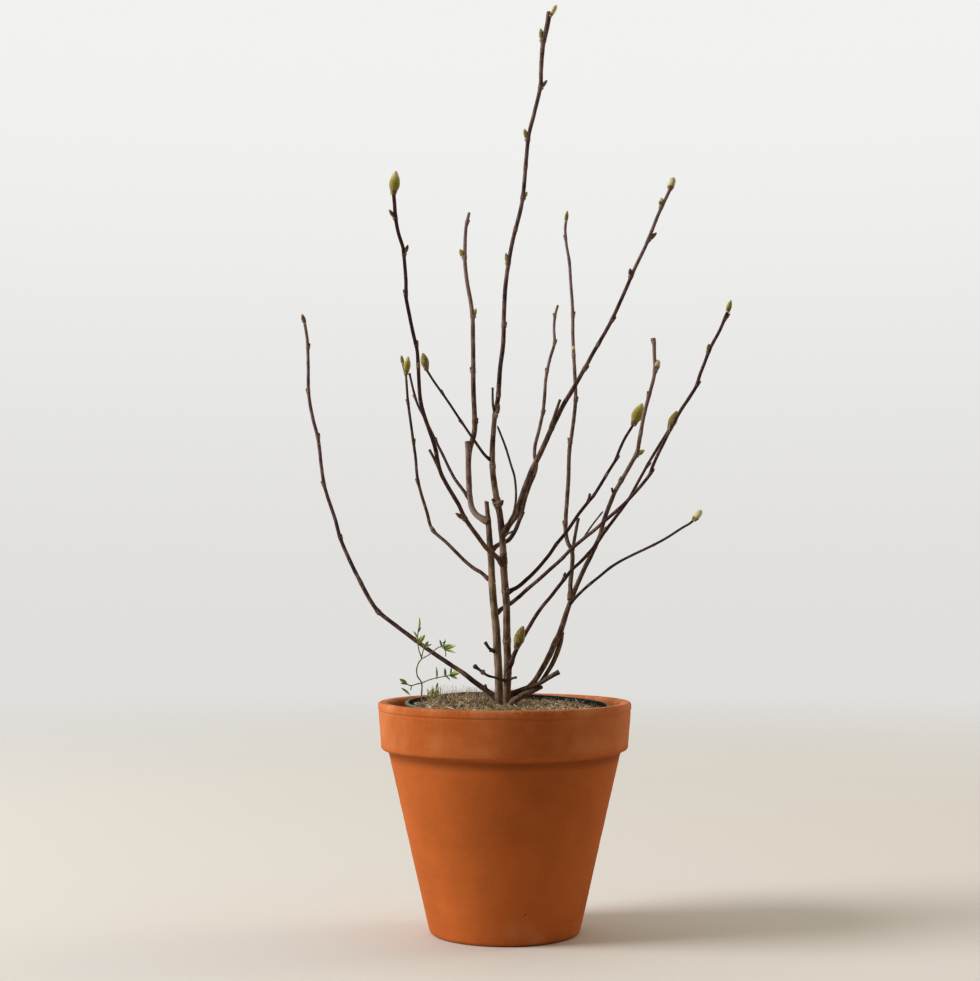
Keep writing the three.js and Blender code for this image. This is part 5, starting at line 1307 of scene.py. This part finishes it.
def layBlades(pile, rng, x, y, length, rise, width, tone, upright):
    taper = np.array(thatch["bladeTaper"])
    count, steps = len(x), len(taper)
    t = np.linspace(0, 1, steps)[None]
    heading = rng.uniform(0, 2 * math.pi, (count, 1))
    curl = rng.normal(0, thatch["curl"], (count, 1))
    angle = heading + curl * t
    stride = length[:, None] / (steps - 1) * np.where(upright[:, None], 0.6, 1)
    px = x[:, None] + np.cumsum(np.cos(angle) * stride, 1)
    py = y[:, None] + np.cumsum(np.sin(angle) * stride, 1)
    reach = np.hypot(px, py)
    hold = np.minimum(1, thatch["limit"] / reach)
    px, py = px * hold, py * hold
    arch = np.where(upright[:, None], np.sin(t * math.pi * 0.5), np.sin(t * math.pi) * 0.9 + 0.1)
    bottom = matHeight(px, py) - thatch["bladeFoot"]
    low = np.where(upright[:, None], 1, 1 - 0.6 * smooth(np.hypot(px, py), 72, 102))
    pz = bottom + rise[:, None] * arch * low + rng.uniform(-0.5, 1.0, (count, 1)) * low
    points = inGrower(np.stack([px, py, pz], -1) * mm)
    side = unit(np.stack([-np.sin(heading[:, 0]), np.cos(heading[:, 0]),
                          rng.normal(0, 0.7, count)], -1))
    pile.ribbons(points, width[:, None] * taper[None] * mm, side, tone=tone[:, None])


def makeGrass():
    rng = np.random.default_rng(thatch["seed"])
    pile = Pile()
    radius = innerRadius(soilTop) - 0.4
    radii = np.concatenate([np.linspace(0.3, radius - 3, 70), [radius - 1, radius, radius]])
    loops = turned([(r, 0) for r in radii], thatch["sides"])
    loops[..., 2] = matHeight(loops[..., 0] / mm, loops[..., 1] / mm) * mm
    loops[-2:, :, 2] -= 1.5 * mm
    loops[-1, :, 2] = (soilTop + grower["seat"]) * mm
    tone = np.zeros(loops.shape[:2])
    for i in range(len(radii) - 1):
        for j in range(loops.shape[1]):
            spot = Vector(loops[i, j])
            rough = noise.noise(spot * 120) + 0.7 * noise.noise(spot * 330)
            tone[i, j] = 0.08 + 0.14 * rough
            if i < len(radii) - 2:
                loops[i, j, 2] += thatch["roughness"] * rough * mm
    pile.loft(inGrower(loops), tone=tone)

    def scatter(count, spread, centre):
        angle = rng.uniform(0, 2 * math.pi, count)
        reach = np.sqrt(rng.random(count)) * thatch["limit"] * spread
        return centre[0] + reach * np.cos(angle), centre[1] + reach * np.sin(angle)

    def tones(x, y):
        count = len(x)
        pick = rng.random(count)
        base = np.select([pick < 0.16, pick < 0.42, pick < 0.74, pick < 0.88],
                         [0.24, 0.38, 0.54, 0.68], 0.8) + rng.normal(0, 0.05, count)
        golden = bell(np.hypot(x + 12, 0.8 * (y + 55)), 48) * (rng.random(count) < 0.6)
        shady = bell(np.hypot((x + 25) / 1.5, y - 30), 40) * (rng.random(count) < 0.35)
        base = base + golden * (0.36 - 0.2 * (base > 0.6)) - shady * 0.3
        sunny = smooth(x, 5, 55) * (rng.random(count) < 0.6)  # painted light: paler straw tones toward the right, the side more light falls on
        base = base * (1 - sunny) + sunny * rng.uniform(0.46, 0.68, count)
        return np.clip(base, 0.05, 0.95)

    for layer in thatch["layers"]:
        x, y = scatter(layer["count"], layer.get("spread", 1), layer.get("centre", (0, 0)))
        if "centre" in layer:
            keep = np.hypot(x, y) < thatch["limit"]
            x, y = x[keep], y[keep]
        count, (thin, wide), share = len(x), layer["width"], layer["upright"]
        layBlades(pile, rng, x, y, rng.uniform(*layer["length"], count),
                  rng.uniform(*layer["rise"], count),
                  thin + (wide - thin) * rng.random(count) ** layer.get("thinning", 1),
                  rng.normal(*layer["tone"], count) if "tone" in layer else tones(x, y),
                  rng.random(count) < share if 0 < share < 1 else np.full(count, share > 0))
    pile.piece("dryGrass", grassFinish(), "dry_grass", ["dry_grass_mat"])


makeGrass()

# ---- the seedling, and the green tuft at its foot
seedlingStems = [
    [(421.8, 704, 22), (421.6, 693.6, 24), (421.6, 683, 26), (417.3, 675.8, 26),
     (416.7, 668.9, 26), (419, 662, 25), (421.3, 659, 24), (418.9, 650, 22), (417.5, 640, 21),
     (418.6, 628, 20)],
    [(421.3, 659, 24), (422.5, 653, 22), (424.8, 646, 19)],
    [(421.3, 659, 24), (429.4, 654.5, 20), (437.4, 648, 17), (442.6, 646.4, 15),
     (445.2, 650.5, 12), (445.8, 656.5, 11)],
    [(421.6, 683, 26), (430.5, 679.4, 20), (440.8, 677, 15), (451.6, 674.5, 11)],
    [(421.6, 683, 26), (416.8, 684, 24), (411.4, 685.6, 22), (405.8, 683.8, 20)],
    [(411.4, 685.6, 22), (411.2, 688, 21), (410.4, 690, 21)],
]
seedlingLeaves = [  # foot, tip, half the width in mm, and how dark
    ((418.5, 630, 20), (418.9, 617, 18), 1.2, 0), ((418.6, 632, 20), (420.9, 627, 18), 0.9, 0.1),
    ((417.6, 640, 21), (413.4, 631.5, 17), 1.3, -0.2),
    ((418, 643.5, 21), (424.6, 635, 16), 2.6, -0.3),
    ((424.6, 647, 19), (428.4, 641.5, 16), 1.6, 0.2),
    ((424.4, 647.4, 19), (421, 643, 17), 1.5, 0.2),
    ((424.8, 646.4, 19), (431.6, 644.6, 15), 1.1, 0.3),
    ((424, 649, 20), (427.6, 647, 17), 1.3, 0.1), ((441.6, 647, 15), (439.6, 640, 12), 1.3, 0.5),
    ((442.8, 646.6, 15), (445.4, 638.6, 18), 1.0, 0.5),
    ((443, 643, 16), (446.2, 641.4, 16), 0.8, 0.5),
    ((443.6, 647.2, 14), (449.6, 644.4, 10), 1.4, 0.1),
    ((443.6, 648, 14), (455, 645.8, 8), 2.5, -0.3),
    ((444.8, 650, 12.6), (455, 653.4, 8), 1.4, -0.1),
    ((436.6, 678, 17), (436, 667, 14), 1.1, 0.15),
    ((444.8, 676.2, 13.6), (444.6, 668.4, 10), 1.5, 0.5),
    ((450.4, 674.8, 11.4), (451, 667.6, 9), 1.1, 0.5),
    ((450.8, 674.8, 11.4), (459, 673, 6), 2.6, -0.1),
    ((449.6, 675.2, 12), (457, 679, 7), 1.6, 0.4),
    ((445.4, 676, 13.2), (449.6, 681, 10), 1.1, 0.5),
    ((406.4, 684, 20.2), (399.6, 679.4, 16), 2.1, -0.3),
    ((407.4, 684.4, 20.8), (400.6, 683.4, 17), 1.1, 0),
    ((436, 689, 26), (437.8, 682.6, 23), 1.1, 0.2),
]
seedlingLook = {
    "leaf": "#a9ba62", "leafDark": "#5a7444", "vein": "#c3cb86", "twig": "#7a7350",
    "thickness": 0.16, "rows": 15, "columns": 9, "overlap": 0.12, "arch": 0.16, "fold": 0.35,
    "stem": (0.85, 0.5), "stemSides": 9, "sideStem": 0.75, "knots": 0.2, "knotEvery": 9,
    "seed": 5,
    "tuft": {"at": (433.5, 695, 30), "blades": 30, "length": (4, 10)},
    "darkLeaf": ((402.2, 688.7, 30), (409.8, 695.4, 26)),
}


def leafFinish():
    n, look = newFinish("greenLeaf", seedlingLook)
    patch, fine = n.cloud(260, 3), n.cloud(1400, 2)
    colour = n.blend(patch + n.mark("deep"), 0.3, 0.75, look["leaf"], look["leafDark"])
    colour = n.paint(colour, look, [("vein", 0.7, "vein"), ("twig", 0.7 + 0.6 * fine, "twig")])
    return n.surface(colour, 0.45 + fine * 0.2, patch * 0.4 + fine * 0.3, 0.3)


def growLeaf(pile, foot, tip, halfWidth, rng, deep):
    look, foot, tip = seedlingLook, place(*foot), place(*tip)
    along = tip - foot
    length = np.linalg.norm(along)
    foot = foot - along * look["overlap"]
    across = unit(np.cross([0.15, 1, 0.25], along) + rng.normal(0, 0.12, 3) * length)
    face = unit(np.cross(along, across))
    t = np.linspace(0, 1, look["rows"])
    width = np.sin(math.pi * np.clip(t, 0.02, 0.985) ** 0.85) ** 0.75 * halfWidth * mm
    sweep = np.linspace(-1, 1, look["columns"])
    loops, veins = [], []
    for step, w in zip(t, width):
        centre = (foot + along * step * (1 + look["overlap"])
                  + face * length * look["arch"] * math.sin(step * 2.6))
        top = [centre + across * s * w + face * abs(s) * w * look["fold"] for s in sweep]
        under = [point - face * look["thickness"] * mm * (1 - abs(s))
                 for point, s in zip(top, sweep)]
        loops.append(top + under[-2:0:-1])
        side = bell(sweep, 0.12) + 0.35 * bell(np.sin(9 * step - 5 * np.abs(sweep)), 0.25)
        veins.append(np.concatenate([side, side[-2:0:-1]]))
    pile.loft(np.array(loops), vein=np.clip(np.array(veins), 0, 1), deep=deep, twig=0.0)


def makeSeedling():
    look, pile = seedlingLook, Pile()
    rng = np.random.default_rng(look["seed"])
    for i, route in enumerate(seedlingStems):
        path = Path(route)
        runs = np.linspace(0, path.length, int(path.length / mm) + 2)
        centres = path.at(runs)
        across, over = sideFrames(unit(np.gradient(centres, axis=0)))
        thick, thin = look["stem"]
        size = np.linspace(thick * (1 if i == 0 else look["sideStem"]), thin, len(runs))
        knots = bell((runs / mm % look["knotEvery"]) - look["knotEvery"] / 2, 0.9)
        size = size * (1 + look["knots"] * knots) * mm
        ways = spokes(across, over, circle(look["stemSides"]))
        pile.loft(centres[:, None] + ways * size[:, None, None], twig=0.85, deep=0.2, vein=0.0)
    for foot, tip, halfWidth, deep in seedlingLeaves:
        growLeaf(pile, foot, tip, halfWidth, rng, deep)
    growLeaf(pile, *look["darkLeaf"], 1.3, rng, 0.6)
    tuft = look["tuft"]
    for _ in range(tuft["blades"]):
        lean, long = rng.normal(0.2, 0.7), rng.uniform(*tuft["length"])
        across, down, back = tuft["at"]
        spot = (across + rng.normal(0, 3), down + 1, back + rng.normal(0, 3))
        tip = (spot[0] + long * math.sin(lean), down - long * math.cos(lean),
               spot[2] - rng.uniform(0, 4))
        growLeaf(pile, spot, tip, rng.uniform(0.35, 0.7), rng, rng.uniform(-0.3, 0.1))
    pile.piece("greenSeedling", leafFinish(), "green_leaf", ["seedling"])


makeSeedling()
print("pots, soil, grass and seedling made")
